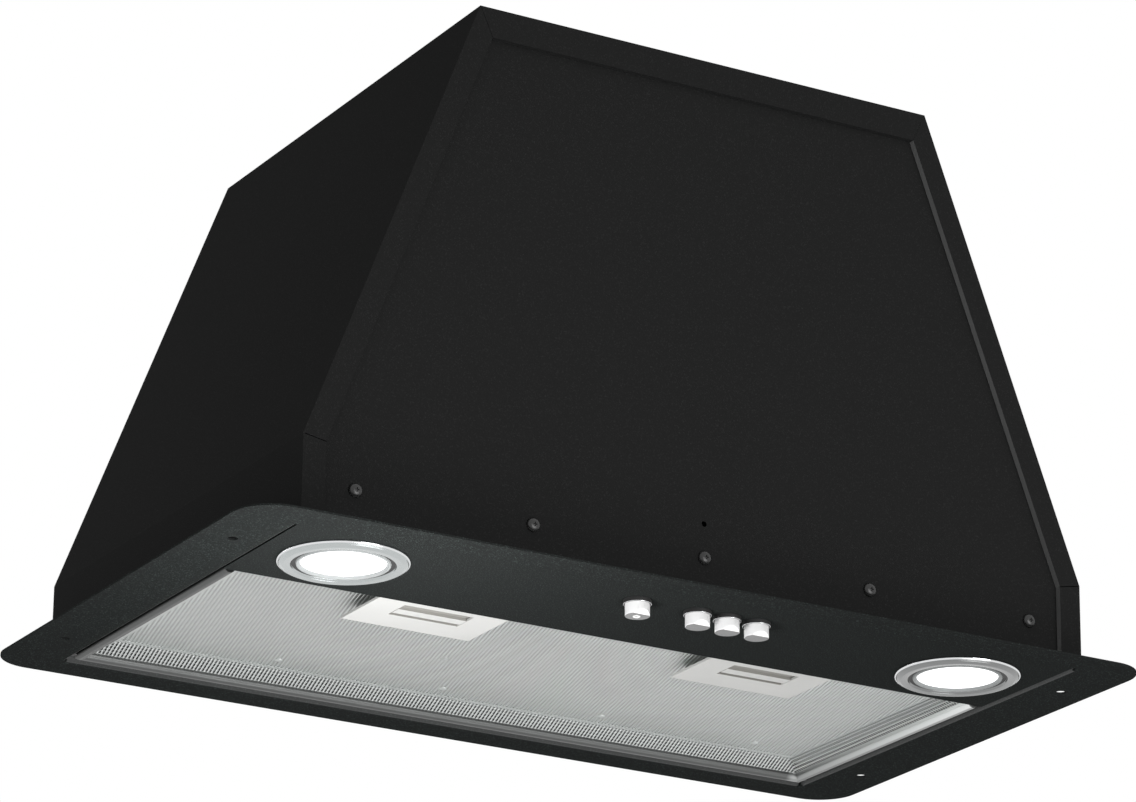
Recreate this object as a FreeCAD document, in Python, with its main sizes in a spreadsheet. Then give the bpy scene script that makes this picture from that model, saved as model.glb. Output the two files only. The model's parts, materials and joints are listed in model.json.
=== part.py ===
"""Insert range hood for a wall cabinet: folded body, drop-down grease filter, centrifugal blower.

Millimetres. The origin is the centre of the four fixing holes on the upper face of the flange,
which is the face that seats against the cabinet floor. +X is right as seen from the front,
+Y is towards the wall and +Z is up.
"""
import FreeCAD, Part
import math
import os

import Sketcher
from FreeCAD import Placement, Rotation, Vector

# Driving sizes: name, value, meaning. Every one becomes a named cell of the sheet.
SIZES = (
    ("flange_width", "525", "flange, left to right"),
    ("flange_depth", "307.7", "flange, front to back"),
    ("flange_corner", "22", "corner radius of the flange"),
    ("flange_sheet", "1", "sheet of the base frame and of its upturned walls"),
    ("side_bend", "3.3", "outer bend radius of the upturned side walls"),
    ("rear_bend", "5.5", "outer bend radius of the upturned rear wall"),
    ("fixing_side", "18", "fixing holes, in from the sides of the flange"),
    ("fixing_end", "57.85", "fixing holes, in from the front and the back of the flange"),
    ("fixing_hole", "5.5", "diameter of a fixing hole"),
    ("opening_front_lap", "1.6", "front edge of the frame's opening, in from the body's front"),
    ("opening_rear_lap", "17.8", "rear edge of the frame's opening, in from the body's back"),
    ("side_wall_height", "30", "upturned side walls of the base frame"),
    ("rear_wall_height", "14", "upturned rear wall of the base frame"),
    ("flange_side", "33.9", "flange beside the body"),
    ("flange_front", "16.75", "flange in front of the body"),
    ("flange_back", "5.55", "flange behind the body"),
    ("body_height", "291", "folded body, above the flange"),
    ("body_sheet", "0.8", "sheet of the folded body and its panels"),
    ("top_width", "270.6", "top of the folded body"),
    ("skirt_height", "44", "vertical skirt below the sloping sides"),
    ("return_side", "12.6", "width of the folded return along the sides"),
    ("return_top", "16", "width of the folded return along the top"),
    ("return_lip", "3.5", "depth of the front return, back to the panel"),
    ("mitre_gap", "0.5", "open slit of each mitred corner"),
    ("panel_gap", "0.4", "clearance round a panel inside the body"),
    ("back_foot", "11", "foot of the back panel on the flange"),
    ("pilot_hole", "3", "small pilot hole of the front panel"),
    ("pilot_height", "39", "pilot hole, above the flange"),
    ("screw_shank", "3.9", "diameter of a sheet metal screw"),
    ("screw_head", "7.4", "diameter of a pan head"),
    ("screw_head_height", "2.4", "height of a pan head"),
    ("screw_length", "7", "length of a sheet metal screw"),
    ("screw_gap", "0.1", "clearance round a screw in its hole"),
    ("front_screw_count", "5", "front screws"),
    ("front_screw_side", "30.6", "outer front screws, in from the sides of the body"),
    ("front_screw_height", "20.8", "front screws, above the flange"),
    ("fascia_sheet", "1", "sheet of the control fascia"),
    ("fascia_depth", "88.3", "rear edge of the fascia, behind the body's front"),
    ("fascia_front_height", "32", "front flange of the fascia"),
    ("fascia_rear_height", "11", "rear flange of the fascia"),
    ("fascia_gap", "0.6", "gap at each end of the fascia"),
    ("fascia_end", "21", "end walls of the fascia, ahead of its rear edge"),
    ("lamp_side", "47", "lamp centres, in from the sides of the body"),
    ("lamp_inset", "45.4", "lamp centres, behind the body's front"),
    ("bezel_width", "66.3", "diameter of a lamp bezel"),
    ("bezel_drop", "3.3", "bezel, below the fascia"),
    ("bezel_neck", "57", "diameter of the bezel's neck"),
    ("bezel_neck_height", "12", "height of the bezel's neck"),
    ("bezel_bevel", "3.3", "width of the bezel's sloping edge"),
    ("bezel_groove", "1.9", "width of the bezel's groove"),
    ("bezel_groove_wall", "0.75", "slope of each side of the bezel's groove"),
    ("bezel_inner_bevel", "1.1", "width of the slope round the lit disc"),
    ("lens_seat", "-1.2", "seat of the lens, above the fascia's underside"),
    ("lens_width", "49", "diameter of a lamp lens"),
    ("lit_width", "42.6", "diameter of the lit disc"),
    ("lens_thickness", "2", "thickness of a lamp lens"),
    ("lamp_can", "54", "diameter of the lamp housing"),
    ("lamp_can_height", "30", "height of the lamp housing"),
    ("lamp_shoulder", "1.5", "shoulder of the lamp housing on the bezel's neck"),
    ("lamp_fins", "2", "cooling fins of the lamp housing"),
    ("clip_width", "8", "width of a lamp clip"),
    ("clip_reach", "8", "foot of a lamp clip, out from the neck"),
    ("clip_sheet", "1.2", "thickness of a lamp clip"),
    ("clip_hold", "1.5", "height of a lamp clip's grip on the neck"),
    ("hole_gap", "0.3", "clearance of a round piece in a sheet hole"),
    ("button_width", "12.6", "diameter of a push button"),
    ("button_drop", "8.2", "push button, below the fascia"),
    ("button_inset", "24.9", "push buttons, behind the body's front"),
    ("button_light_x", "-26.1", "light button, right of the centre"),
    ("button_speed_x", "9.2", "first speed button, right of the centre"),
    ("button_pitch", "17.55", "pitch of the speed buttons"),
    ("button_stem", "8", "diameter of a button's stem"),
    ("button_travel", "3", "travel of a push button"),
    ("button_bevel", "2.2", "bevel of a button's end"),
    ("button_mark", "2.6", "diameter of the round dimple of the light button"),
    ("button_mark_back", "0.8", "dimple, behind the button's centre"),
    ("button_mark_depth", "0.5", "depth of the dimple"),
    ("collar_width", "15.4", "diameter of a button collar"),
    ("collar_height", "0.8", "button collar, below the fascia"),
    ("switch_height", "26", "height of the switch bank"),
    ("switch_depth", "22", "switch bank, front to back"),
    ("switch_end", "12.3", "switch bank, past the outer buttons"),
    ("switch_clear", "1.5", "room above a pressed button"),
    ("blade_terminal_width", "6.3", "width of a blade terminal"),
    ("blade_terminal_sheet", "0.8", "thickness of a blade terminal"),
    ("blade_terminal_length", "8", "length of a blade terminal"),
    ("filter_gap", "2.1", "gap beside and behind the filter"),
    ("filter_front_gap", "1", "gap between the fascia and the filter"),
    ("filter_height", "13", "height of the filter frame"),
    ("filter_rim", "6", "width of the filter frame's bead"),
    ("filter_rim_radius", "2.9", "rounded lower edges of the bead"),
    ("filter_front_rim", "2.2", "width of the filter frame along the fascia"),
    ("filter_front_drop", "1.3", "underside of the filter frame along the fascia, above the flange"),
    ("filter_wall", "1.2", "wall of the filter frame"),
    ("filter_web", "3", "bead below the filter frame's channel"),
    ("screen_sheet", "0.6", "perforated sheet of the filter"),
    ("screen_rise", "5.5", "flat of the screen, above its rim"),
    ("screen_slope", "11", "width of the sloping border of the screen"),
    ("screen_front_slope", "6", "width of the screen's slope along the fascia"),
    ("screen_lap", "1.5", "lap of the screen's slope over its rim"),
    ("filter_upper_web", "1", "upper web of the filter frame"),
    ("core_thickness", "2.3", "mesh core of the filter"),
    ("core_notch", "16", "notch of the mesh core beside a latch handle"),
    ("rivet_shank", "3", "diameter of a filter rivet"),
    ("rivet_pitch", "98.6", "pitch of the row of filter rivets"),
    ("rivet_first_x", "-121", "first filter rivet, right of the centre"),
    ("rivet_inset", "33.5", "row of filter rivets, in from the opening's rear edge"),
    ("rivet_middle_x", "-48", "single filter rivet, right of the centre"),
    ("pivot_pin", "3", "diameter of a filter pivot pin"),
    ("pivot_gap", "0.05", "running clearance of a pivot"),
    ("handle_spacing", "196", "latch handles, centre to centre"),
    ("handle_width", "74", "width of a latch handle"),
    ("handle_depth", "44.8", "latch handle, front to back"),
    ("handle_overhang", "8", "face of a latch handle, past its housing at the sides"),
    ("handle_rear_overhang", "3", "face of a latch handle, past its housing at the rear"),
    ("handle_drop", "2.3", "face of a latch handle, above the flange"),
    ("handle_wall", "1.5", "wall of a latch handle"),
    ("pull_width", "40", "finger window of a latch handle"),
    ("pull_depth", "16.4", "finger window, front to back"),
    ("pull_inset", "29.2", "rear edge of the finger window, behind the fascia's rear edge"),
    ("pull_bar", "8.5", "finger bar of the latch, front to back"),
    ("latch_travel", "3", "travel of a latch"),
    ("latch_engage", "1.8", "latch tongue, past the fascia's rear flange"),
    ("latch_sheet", "1.2", "thickness of the latch tongue"),
    ("latch_tongue", "20", "width of the latch tongue"),
    ("latch_gap", "0.3", "clearance of a latch in its guides"),
    ("latch_border", "2.5", "latch slide, past the finger window"),
    ("duct_width", "119.2", "diameter of the outlet spigot"),
    ("duct_height", "35", "height of the outlet spigot"),
    ("duct_sheet", "1.2", "wall of the outlet spigot"),
    ("duct_flange", "150", "diameter of the spigot's flange"),
    ("duct_ledge", "7", "ledge that stops the flaps, above the body"),
    ("duct_ledge_width", "3.4", "width of the ledge"),
    ("outlet_hole", "116", "outlet hole of the body"),
    ("flap_sheet", "1", "thickness of a damper flap"),
    ("flap_gap", "1.2", "gap between a flap and the spigot"),
    ("flap_pin", "3", "diameter of the flap pin"),
    ("flap_knuckle", "5.2", "diameter of a flap knuckle"),
    ("flap_knuckle_width", "22", "width of a flap knuckle"),
    ("flap_knuckle_gap", "3", "gap between neighbouring flap knuckles"),
    ("flap_edge", "3.4", "edge of a flap, out from its pin"),
    ("impeller_width", "130", "diameter of the impeller"),
    ("impeller_length", "104", "length of the impeller"),
    ("impeller_band", "3", "radial width of the impeller's end rings"),
    ("impeller_disc", "2", "thickness of the impeller's centre disc"),
    ("impeller_height", "149", "impeller axis, above the flange"),
    ("blade_count", "32", "blades of the impeller"),
    ("blade_sheet", "0.9", "thickness of a blade"),
    ("blade_radius", "11", "curve of a blade"),
    ("blade_depth", "11.4", "radial depth of a blade"),
    ("blade_inset", "0.6", "blade tips, inside the impeller's outline"),
    ("impeller_ring", "2", "thickness of an end ring"),
    ("impeller_boss", "22", "diameter of the boss"),
    ("boss_front", "10", "boss, in front of the centre disc"),
    ("boss_rear", "3", "boss, behind the centre disc"),
    ("volute_length", "118", "blower housing, inside, left to right"),
    ("volute_sheet", "1.2", "wall of the blower housing"),
    ("scroll_radius", "98", "first arc of the scroll"),
    ("scroll_step", "10", "how much each next arc of the scroll is smaller"),
    ("throat_front", "22", "front wall of the throat, ahead of the impeller axis"),
    ("inlet_width", "112", "diameter of an inlet"),
    ("inlet_flange", "8", "flange of an inlet ring on the side wall"),
    ("inlet_sheet", "1", "thickness of the flange"),
    ("inlet_lip", "1.2", "thickness of the ring's lip"),
    ("inlet_taper", "0.6", "taper of the ring's lip"),
    ("inlet_clear", "1.5", "gap between the ring and the impeller"),
    ("outlet_screw_inset", "8", "lip screws, in from the throat's corners"),
    ("outlet_lip", "14", "side lip of the housing under the body's top"),
    ("motor_width", "78", "diameter of the motor"),
    ("motor_length", "86", "length of the motor"),
    ("motor_gap", "6", "gap between the motor and the impeller's disc"),
    ("motor_bell", "12", "length of an end bell"),
    ("motor_boss", "4", "wall of the boss round a bearing"),
    ("motor_boss_length", "6", "boss, out from the bell's face"),
    ("motor_face", "8", "rim of the bell, back from the boss's end"),
    ("motor_bevel", "3", "bevel round the bell"),
    ("shaft_rear", "3", "shaft, past the rear bearing"),
    ("shaft_front", "12", "front end of the shaft, right of the centre"),
    ("shaft_width", "8", "diameter of the motor shaft"),
    ("bearing_width", "22", "diameter of a motor bearing"),
    ("bearing_length", "7", "length of a motor bearing"),
    ("fit_gap", "0.05", "running clearance of a shaft"),
    ("bracket_sheet", "2", "sheet of the motor bracket"),
    ("bracket_arm", "12", "width of a bracket arm"),
    ("bracket_clamp", "4", "wall of the bracket's clamp ring"),
    ("bracket_reach", "66", "bracket screws, from the motor axis"),
    ("capacitor_width", "30", "diameter of the capacitor"),
    ("capacitor_length", "50", "length of the capacitor"),
    ("capacitor_back", "30", "capacitor, behind the centre"),
    ("capacitor_below", "44", "capacitor, below the body's top"),
    ("capacitor_blades", "13.2", "spacing of the capacitor's blades"),
    ("clamp_length", "14", "cup of the capacitor clip"),
    ("clamp_ear", "9", "ear of the capacitor clip, out from its cup"),
    ("clamp_ear_width", "10", "width of an ear"),
    ("box_left", "70", "terminal box, right of the centre"),
    ("box_width", "80", "terminal box, left to right"),
    ("box_low", "95", "terminal box, above the flange"),
    ("box_height", "55", "height of the terminal box"),
    ("box_depth", "36", "depth of the terminal box"),
    ("box_wall", "2", "wall of the terminal box"),
    ("box_post", "8", "screw post of the terminal box"),
    ("box_entry", "10.4", "cable entry of the terminal box"),
    ("terminal_pitch", "9", "pitch of the terminals"),
    ("terminal_count", "5", "terminals of the block"),
    ("terminal_foot", "18", "height of the block's foot"),
    ("terminal_foot_depth", "9", "depth of the block's foot"),
    ("terminal_ridge", "8", "height of the block's ridge"),
    ("terminal_ridge_depth", "6", "depth of the block's ridge"),
    ("terminal_hole", "4", "diameter of a wire hole"),
    ("gland_right", "95", "cable gland, right of the centre"),
    ("gland_inset", "28.3", "cable gland, in from the body's back"),
    ("gland_thread", "16", "diameter of the gland's thread"),
    ("gland_head", "22", "diameter of the gland's head and nut"),
    ("gland_height", "12", "height of the gland's head"),
    ("gland_nut_height", "5", "height of the gland's nut"),
    ("gland_tail", "1.5", "thread past the nut"),
    ("cable_width", "8.4", "bore of the gland"),
)


class Dim:
    """A size with its value and the sheet expression that it comes from."""

    def __init__(self, value, text):
        self.value = value
        self.text = text

    def __add__(self, other):
        other = dim(other)
        return Dim(self.value + other.value, "(%s + %s)" % (self.text, other.text))

    def __sub__(self, other):
        other = dim(other)
        return Dim(self.value - other.value, "(%s - %s)" % (self.text, other.text))

    def __mul__(self, other):
        other = dim(other)
        return Dim(self.value * other.value, "(%s * %s)" % (self.text, other.text))

    def __truediv__(self, other):
        other = dim(other)
        return Dim(self.value / other.value, "(%s / %s)" % (self.text, other.text))

    def __radd__(self, other):
        return dim(other) + self

    def __rsub__(self, other):
        return dim(other) - self

    def __rmul__(self, other):
        return dim(other) * self

    def __neg__(self):
        return Dim(-self.value, "(-1 * %s)" % self.text)


def dim(number):
    """Wraps a plain number, and leaves a Dim as it is."""
    if isinstance(number, Dim):
        return number
    return Dim(float(number), "(%r)" % float(number))


def root(size):
    """The square root of a Dim."""
    return Dim(math.sqrt(size.value), "sqrt(%s)" % size.text)


class Sizes:
    """The sheet's cells as Dim attributes."""


def make_sheet(doc):
    """Writes the driving sizes into the sheet and returns them as Dims."""
    sheet = doc.addObject("Spreadsheet::Sheet", "Sheet")
    sizes = Sizes()
    for row, (name, value, meaning) in enumerate(SIZES, start=1):
        sheet.set("A%d" % row, meaning)
        sheet.set("B%d" % row, value)
        sheet.setAlias("B%d" % row, name)
        setattr(sizes, name, Dim(float(value), "Sheet." + name))
    doc.recompute()
    add_places(sizes)
    return sizes


def add_places(s):
    """Adds the sizes and places that follow from the sheet, so that the pieces keep together."""
    s.body_width = s.flange_width - 2 * s.flange_side
    s.body_front = s.flange_depth / 2 - s.flange_front
    s.body_back = s.flange_depth / 2 - s.flange_back
    s.opening_front = s.body_front - s.opening_front_lap
    s.opening_rear = s.body_back - s.opening_rear_lap
    s.fixing_spacing_x = s.flange_width - 2 * s.fixing_side
    s.fixing_spacing_y = s.flange_depth - 2 * s.fixing_end
    s.front_screw_pitch = (s.body_width - 2 * s.front_screw_side) / (s.front_screw_count - 1)
    s.fascia_rear = s.body_front - s.fascia_depth
    s.lamp_spacing = s.body_width - 2 * s.lamp_side
    s.lamp_front = s.body_front - s.lamp_inset
    s.button_front = s.body_front - s.button_inset
    s.pull_rear = s.fascia_rear - s.pull_inset
    s.rivet_row = s.opening_rear - s.rivet_inset
    s.duct_back = (s.body_back - s.body_front) / 2
    s.gland_back = s.body_back - s.gland_inset


# ---------------------------------------------------------------- drawing helpers

def bind(item, prop, size):
    """Binds a property to a size."""
    item.setExpression(prop, dim(size).text)


def place(item, x=0, y=0, z=0, rotation=None):
    """Puts an object at a bound position."""
    if rotation is not None:
        item.Placement = Placement(Vector(0, 0, 0), rotation)
    bind(item, "Placement.Base.x", x)
    bind(item, "Placement.Base.y", y)
    bind(item, "Placement.Base.z", z)


def new_body(doc, label):
    """An empty body with the sub-part's name."""
    body = doc.addObject("PartDesign::Body", "Body_" + label)
    body.Label = label
    return body


def origin_feature(body, role):
    """The plane or axis of the body's own origin with this role."""
    return [item for item in body.Origin.OriginFeatures if item.Role == role][0]


def new_sketch(body, plane, offset):
    """A sketch on one of the body's planes, moved along its normal."""
    sketch = body.newObject("Sketcher::SketchObject", "Sketch")
    sketch.AttachmentSupport = [(origin_feature(body, plane + "_Plane"), "")]
    sketch.MapMode = "FlatFace"
    bind(sketch, "AttachmentOffset.Base.z", offset)
    return sketch


def hold(sketch, kind, index, point, size):
    """Holds a point's distance from the sketch's origin along one axis."""
    number = sketch.addConstraint(Sketcher.Constraint(kind, -1, 1, index, point, size.value))
    sketch.setExpression("Constraints[%d]" % number, size.text)


def hold_point(sketch, index, point, x, y):
    """Holds both coordinates of a point."""
    hold(sketch, "DistanceX", index, point, dim(x))
    hold(sketch, "DistanceY", index, point, dim(y))


def hold_radius(sketch, index, radius):
    """Holds the radius of a circle or an arc."""
    number = sketch.addConstraint(Sketcher.Constraint("Radius", index, radius.value))
    sketch.setExpression("Constraints[%d]" % number, radius.text)


def flat(x, y):
    """A sketch point from two Dims or numbers."""
    return Vector(dim(x).value, dim(y).value, 0)


def add_polygon(sketch, points):
    """A closed polygon whose corners are bound."""
    first = sketch.GeometryCount
    count = len(points)
    for number in range(count):
        start = points[number]
        end = points[(number + 1) % count]
        sketch.addGeometry(Part.LineSegment(flat(*start), flat(*end)))
    for number in range(count):
        after = first + (number + 1) % count
        sketch.addConstraint(Sketcher.Constraint("Coincident", first + number, 2, after, 1))
    for number, (x, y) in enumerate(points):
        hold_point(sketch, first + number, 1, x, y)


def add_rectangle(sketch, left, low, right, high):
    """A rectangle between two bound corners."""
    add_polygon(sketch, ((left, low), (right, low), (right, high), (left, high)))


def add_circle(sketch, x, y, radius):
    """A circle with a bound centre and radius."""
    radius = dim(radius)
    index = sketch.addGeometry(Part.Circle(flat(x, y), Vector(0, 0, 1), radius.value))
    hold_point(sketch, index, 3, x, y)
    hold_radius(sketch, index, radius)


def add_arc(sketch, x, y, radius, start, end):
    """A free arc, drawn anticlockwise between two angles in degrees."""
    circle = Part.Circle(flat(x, y), Vector(0, 0, 1), dim(radius).value)
    return sketch.addGeometry(Part.ArcOfCircle(circle, math.radians(start), math.radians(end)))


def add_rounded_rectangle(sketch, left, low, right, high, corner):
    """A rectangle with round corners: four sides, each held, and four tangent arcs."""
    first = sketch.GeometryCount
    sides = (
        ((left + corner, low), (right - corner, low)),
        ((right, low + corner), (right, high - corner)),
        ((right - corner, high), (left + corner, high)),
        ((left, high - corner), (left, low + corner)),
    )
    centres = (
        (right - corner, low + corner, 270),
        (right - corner, high - corner, 0),
        (left + corner, high - corner, 90),
        (left + corner, low + corner, 180),
    )
    for (start, end), (x, y, angle) in zip(sides, centres):
        sketch.addGeometry(Part.LineSegment(flat(*start), flat(*end)))
        add_arc(sketch, x, y, corner, angle, angle + 90)
    for number in range(4):
        side = first + 2 * number
        arc = side + 1
        following = first + (2 * number + 2) % 8
        sketch.addConstraint(Sketcher.Constraint("Tangent", side, 2, arc, 1))
        sketch.addConstraint(Sketcher.Constraint("Tangent", arc, 2, following, 1))
        hold_radius(sketch, arc, corner)
    sketch.addConstraint(Sketcher.Constraint("Horizontal", first))
    sketch.addConstraint(Sketcher.Constraint("Vertical", first + 2))
    sketch.addConstraint(Sketcher.Constraint("Horizontal", first + 4))
    sketch.addConstraint(Sketcher.Constraint("Vertical", first + 6))
    hold(sketch, "DistanceY", first, 1, low)
    hold(sketch, "DistanceX", first + 2, 1, right)
    hold(sketch, "DistanceY", first + 4, 1, high)
    hold(sketch, "DistanceX", first + 6, 1, left)


def extrude(body, kind, plane, low, high, draw):
    """Adds (Pad) or cuts (Pocket) a drawn profile from low to high along the plane's axis."""
    low = dim(low)
    high = dim(high)
    towards_low = (plane == "XZ") != (kind == "Pocket")
    start = high if towards_low else low
    # The XZ plane faces -Y, so its offset is counted the other way.
    offset = -start if plane == "XZ" else start
    sketch = new_sketch(body, plane, offset)
    draw(sketch)
    feature = body.newObject("PartDesign::" + kind, kind)
    feature.Profile = sketch
    bind(feature, "Length", high - low)
    return feature


def pad(body, plane, low, high, draw):
    """Adds material between two heights."""
    return extrude(body, "Pad", plane, low, high, draw)


def pocket(body, plane, low, high, draw):
    """Cuts material between two heights."""
    return extrude(body, "Pocket", plane, low, high, draw)


def pad_box(body, x, y, z):
    """Adds a block between three pairs of bounds."""
    return pad(body, "XY", z[0], z[1], lambda sketch: add_rectangle(sketch, x[0], y[0], x[1], y[1]))


def cut_box(body, x, y, z):
    """Cuts a block between three pairs of bounds."""
    return pocket(body, "XY", z[0], z[1], lambda sketch: add_rectangle(sketch, x[0], y[0], x[1], y[1]))


def revolve(body, plane, axis, draw):
    """Turns a drawn profile once round one of the body's axes."""
    sketch = new_sketch(body, plane, 0)
    draw(sketch)
    feature = body.newObject("PartDesign::Revolution", "Revolution")
    feature.Profile = sketch
    feature.ReferenceAxis = (origin_feature(body, axis + "_Axis"), [""])
    feature.Angle = 360
    return feature


def fillet_edges(body, radius, wanted):
    """Rounds the edges of the body's last feature that the test function picks."""
    body.Document.recompute()
    base = body.Tip
    names = ["Edge%d" % (number + 1) for number, edge in enumerate(base.Shape.Edges) if wanted(edge)]
    feature = body.newObject("PartDesign::Fillet", "Fillet")
    feature.Base = (base, names)
    bind(feature, "Radius", radius)
    return feature


def group(doc, label, items):
    """One node made of several separate solids."""
    compound = doc.addObject("Part::Compound", "Group_" + label)
    compound.Links = items
    compound.Label = label
    return compound


# Rotations that turn a screw's head from +Z to another direction.
FACING = {
    "up": Rotation(),
    "down": Rotation(Vector(1, 0, 0), 180),
    "front": Rotation(Vector(1, 0, 0), 90),
    "back": Rotation(Vector(1, 0, 0), -90),
    "left": Rotation(Vector(0, 1, 0), -90),
    "right": Rotation(Vector(0, 1, 0), 90),
}


def screw_group(doc, s, label, facing, places):
    """Pan head screws whose head seats are at the given places."""
    screws = []
    for x, y, z in places:
        screw = new_body(doc, "%s_%d" % (label, len(screws) + 1))
        radius = s.screw_shank / 2
        head = s.screw_head / 2
        high = s.screw_head_height
        profile = ((0, -s.screw_length), (radius, -s.screw_length), (radius, 0), (head, 0),
                   (head * 0.7, high), (0, high))
        revolve(screw, "XZ", "Z", lambda sketch: add_polygon(sketch, profile))
        place(screw, x, y, z, FACING[facing])
        screws.append(screw)
    return group(doc, label, screws)


# ---------------------------------------------------------------- shared geometry

def side_slope(s):
    """How far a sloping side moves inwards for each millimetre of height."""
    return (s.body_width - s.top_width) / 2 / (s.body_height - s.skirt_height)


def side_at(s, depth, height):
    """Half width of the body's profile, a depth inside it, at a height above the skirt."""
    slope = side_slope(s)
    return s.body_width / 2 - (height - s.skirt_height) * slope - depth * root(1 + slope * slope)


def body_profile(s, depth_side, depth_top):
    """The hexagonal front outline of the body, drawn a depth inside its sides and top."""
    slope = side_slope(s)
    width = s.body_width / 2 - depth_side
    bend = s.skirt_height - depth_side * (root(1 + slope * slope) - 1) / slope
    top = s.body_height - depth_top
    narrow = side_at(s, depth_side, top)
    return [(-width, 0), (-width, bend), (-narrow, top), (narrow, top), (width, bend), (width, 0)]


def wall_outside(s):
    """Outer face of the frame's side walls, which is the inner face of the body."""
    return s.body_width / 2 - s.body_sheet


def wall_inside(s):
    """Inner face of the frame's side walls."""
    return wall_outside(s) - s.flange_sheet


def panel_face(s):
    """Outer face of the front panel, behind the lip of the front return."""
    return -s.body_front + s.return_lip


def fascia_face(s):
    """Outer face of the fascia's front flange, against the back of the front panel."""
    return panel_face(s) + s.body_sheet


def front_screw_xs(s):
    """The row of front screws."""
    count = int(s.front_screw_count.value)
    return [s.front_screw_pitch * (number - (count - 1) / 2) for number in range(count)]


def back_screw_places(s):
    """Back screws, in the middle of the rear return."""
    middle = s.return_side / 2
    low = s.side_wall_height
    rise = (s.body_height - s.skirt_height) / 3
    places = []
    for side in (-1, 1):
        places.append((side * (s.body_width / 2 - middle), s.body_back, low))
        for step in (1, 2):
            height = s.skirt_height + rise * step
            places.append((side * side_at(s, middle, height), s.body_back, height))
        places.append((side * s.top_width / 4, s.body_back, s.body_height - s.return_top / 2))
    return places


def button_xs(s):
    """The light button and the three speed buttons."""
    speeds = [s.button_speed_x + s.button_pitch * number for number in range(3)]
    return [s.button_light_x] + speeds


def collar_screw_places(s):
    """Screws of the outlet spigot's flange."""
    reach = (s.duct_flange + s.outlet_hole) / 4 * math.sqrt(0.5)
    top = s.body_height + s.duct_sheet
    return [(x * reach, s.duct_back + y * reach, top) for x in (-1, 1) for y in (-1, 1)]


def filter_half(s):
    """Half width of the filter frame."""
    return wall_inside(s) - s.filter_gap


def filter_front(s):
    """Front face of the filter frame."""
    return -s.fascia_rear + s.filter_front_gap


def filter_rear(s):
    """Rear face of the filter frame."""
    return s.opening_rear - s.filter_gap


def filter_low(s):
    """Underside of the filter frame's bead, flush with the underside of the flange."""
    return -s.flange_sheet


def pivot_y(s):
    """The filter's pivot: the centre of the bead's rounded rear edge."""
    return filter_rear(s) - s.filter_rim_radius


def pivot_z(s):
    """Height of the filter's pivot."""
    return filter_low(s) + s.filter_rim_radius


def screen_low(s):
    """Underside of the screen's rim, on the frame's bead."""
    return filter_low(s) + s.filter_web


def screen_flat(s):
    """Underside of the screen's raised flat."""
    return screen_low(s) + s.screen_rise


def core_low(s):
    """Underside of the mesh core."""
    return screen_flat(s) + s.screen_sheet


def rivet_points(s):
    """Rivets through the filter's sheets."""
    row = [(s.rivet_first_x + s.rivet_pitch * number, s.rivet_row) for number in range(4)]
    return row + [(s.rivet_middle_x, s.rivet_row / 2)]


def impeller_y(s):
    """The impeller's axis, set so that the scroll's rear wall meets the rear of the outlet."""
    return s.duct_back + s.outlet_hole / 2 + 2.4 - s.scroll_radius - s.scroll_step / 2


def add_ring(sketch, x, y, outer, inner):
    """Two concentric circles."""
    add_circle(sketch, x, y, outer)
    add_circle(sketch, x, y, inner)


# ---------------------------------------------------------------- body

def base_frame(doc, s):
    """Flange with rounded corners, a wide opening and upturned side and rear walls."""
    body = new_body(doc, "base_frame")
    half_x = s.flange_width / 2
    half_y = s.flange_depth / 2
    inside = wall_inside(s)
    outside = wall_outside(s)
    wall_front = fascia_face(s) + s.fascia_sheet + s.panel_gap
    wall_rear = s.opening_rear + s.flange_sheet
    sheet = s.flange_sheet
    low = -sheet
    wide = inside + s.side_bend
    hole = s.fixing_hole / 2

    def outline(sketch):
        add_rounded_rectangle(sketch, -half_x, -half_y, half_x, half_y, s.flange_corner)

    def side_walls(sketch):
        for side in (-1, 1):
            add_bend(sketch, side, side * inside, low, s.side_wall_height, s.side_bend, sheet)

    def rear_wall(sketch):
        add_bend(sketch, 1, s.opening_rear, low, s.rear_wall_height, s.rear_bend, sheet)

    def fixing_holes(sketch):
        for x in (-1, 1):
            for y in (-1, 1):
                add_circle(sketch, x * s.fixing_spacing_x / 2, y * s.fixing_spacing_y / 2, hole)

    def pivot_hole(sketch):
        add_circle(sketch, pivot_y(s), pivot_z(s), s.pivot_pin / 2 + s.pivot_gap)

    pad(body, "XY", low, 0, outline)
    cut_box(body, (-inside, inside), (-s.opening_front, wall_front), (low, 0))
    cut_box(body, (-wide, wide), (wall_front, wall_rear), (low, 0))
    cut_box(body, (-inside, inside), (wall_rear, s.opening_rear + s.rear_bend), (low, 0))
    pad(body, "XZ", wall_front, wall_rear, side_walls)
    pad(body, "YZ", -inside, inside, rear_wall)
    pocket(body, "XY", low, 0, fixing_holes)
    pocket(body, "YZ", -outside, outside, pivot_hole)
    return body


def add_arch(sketch, s, outer, inner):
    """The strip of the body's outline between two depths, open at the bottom."""
    points = body_profile(s, *outer) + body_profile(s, *inner)[::-1]
    add_polygon(sketch, points)


def add_mitres(sketch, s):
    """Slits from the sheet's inner corners to the inner corners of the front return."""
    outer = body_profile(s, s.body_sheet, s.body_sheet)
    inner = body_profile(s, s.return_side, s.return_top)
    half = s.mitre_gap / 2
    for number in (1, 2, 3, 4):
        (x0, z0), (x1, z1) = outer[number], inner[number]
        add_polygon(sketch, ((x0, z0 - half), (x1, z1 - half), (x1, z1 + half), (x0, z0 + half)))


def bend_span(s):
    """Front and rear end of the notch that clears the base frame's side bends."""
    front = fascia_face(s) + s.fascia_sheet + s.panel_gap
    return front - s.hole_gap, s.opening_rear + s.flange_sheet + s.hole_gap


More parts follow.
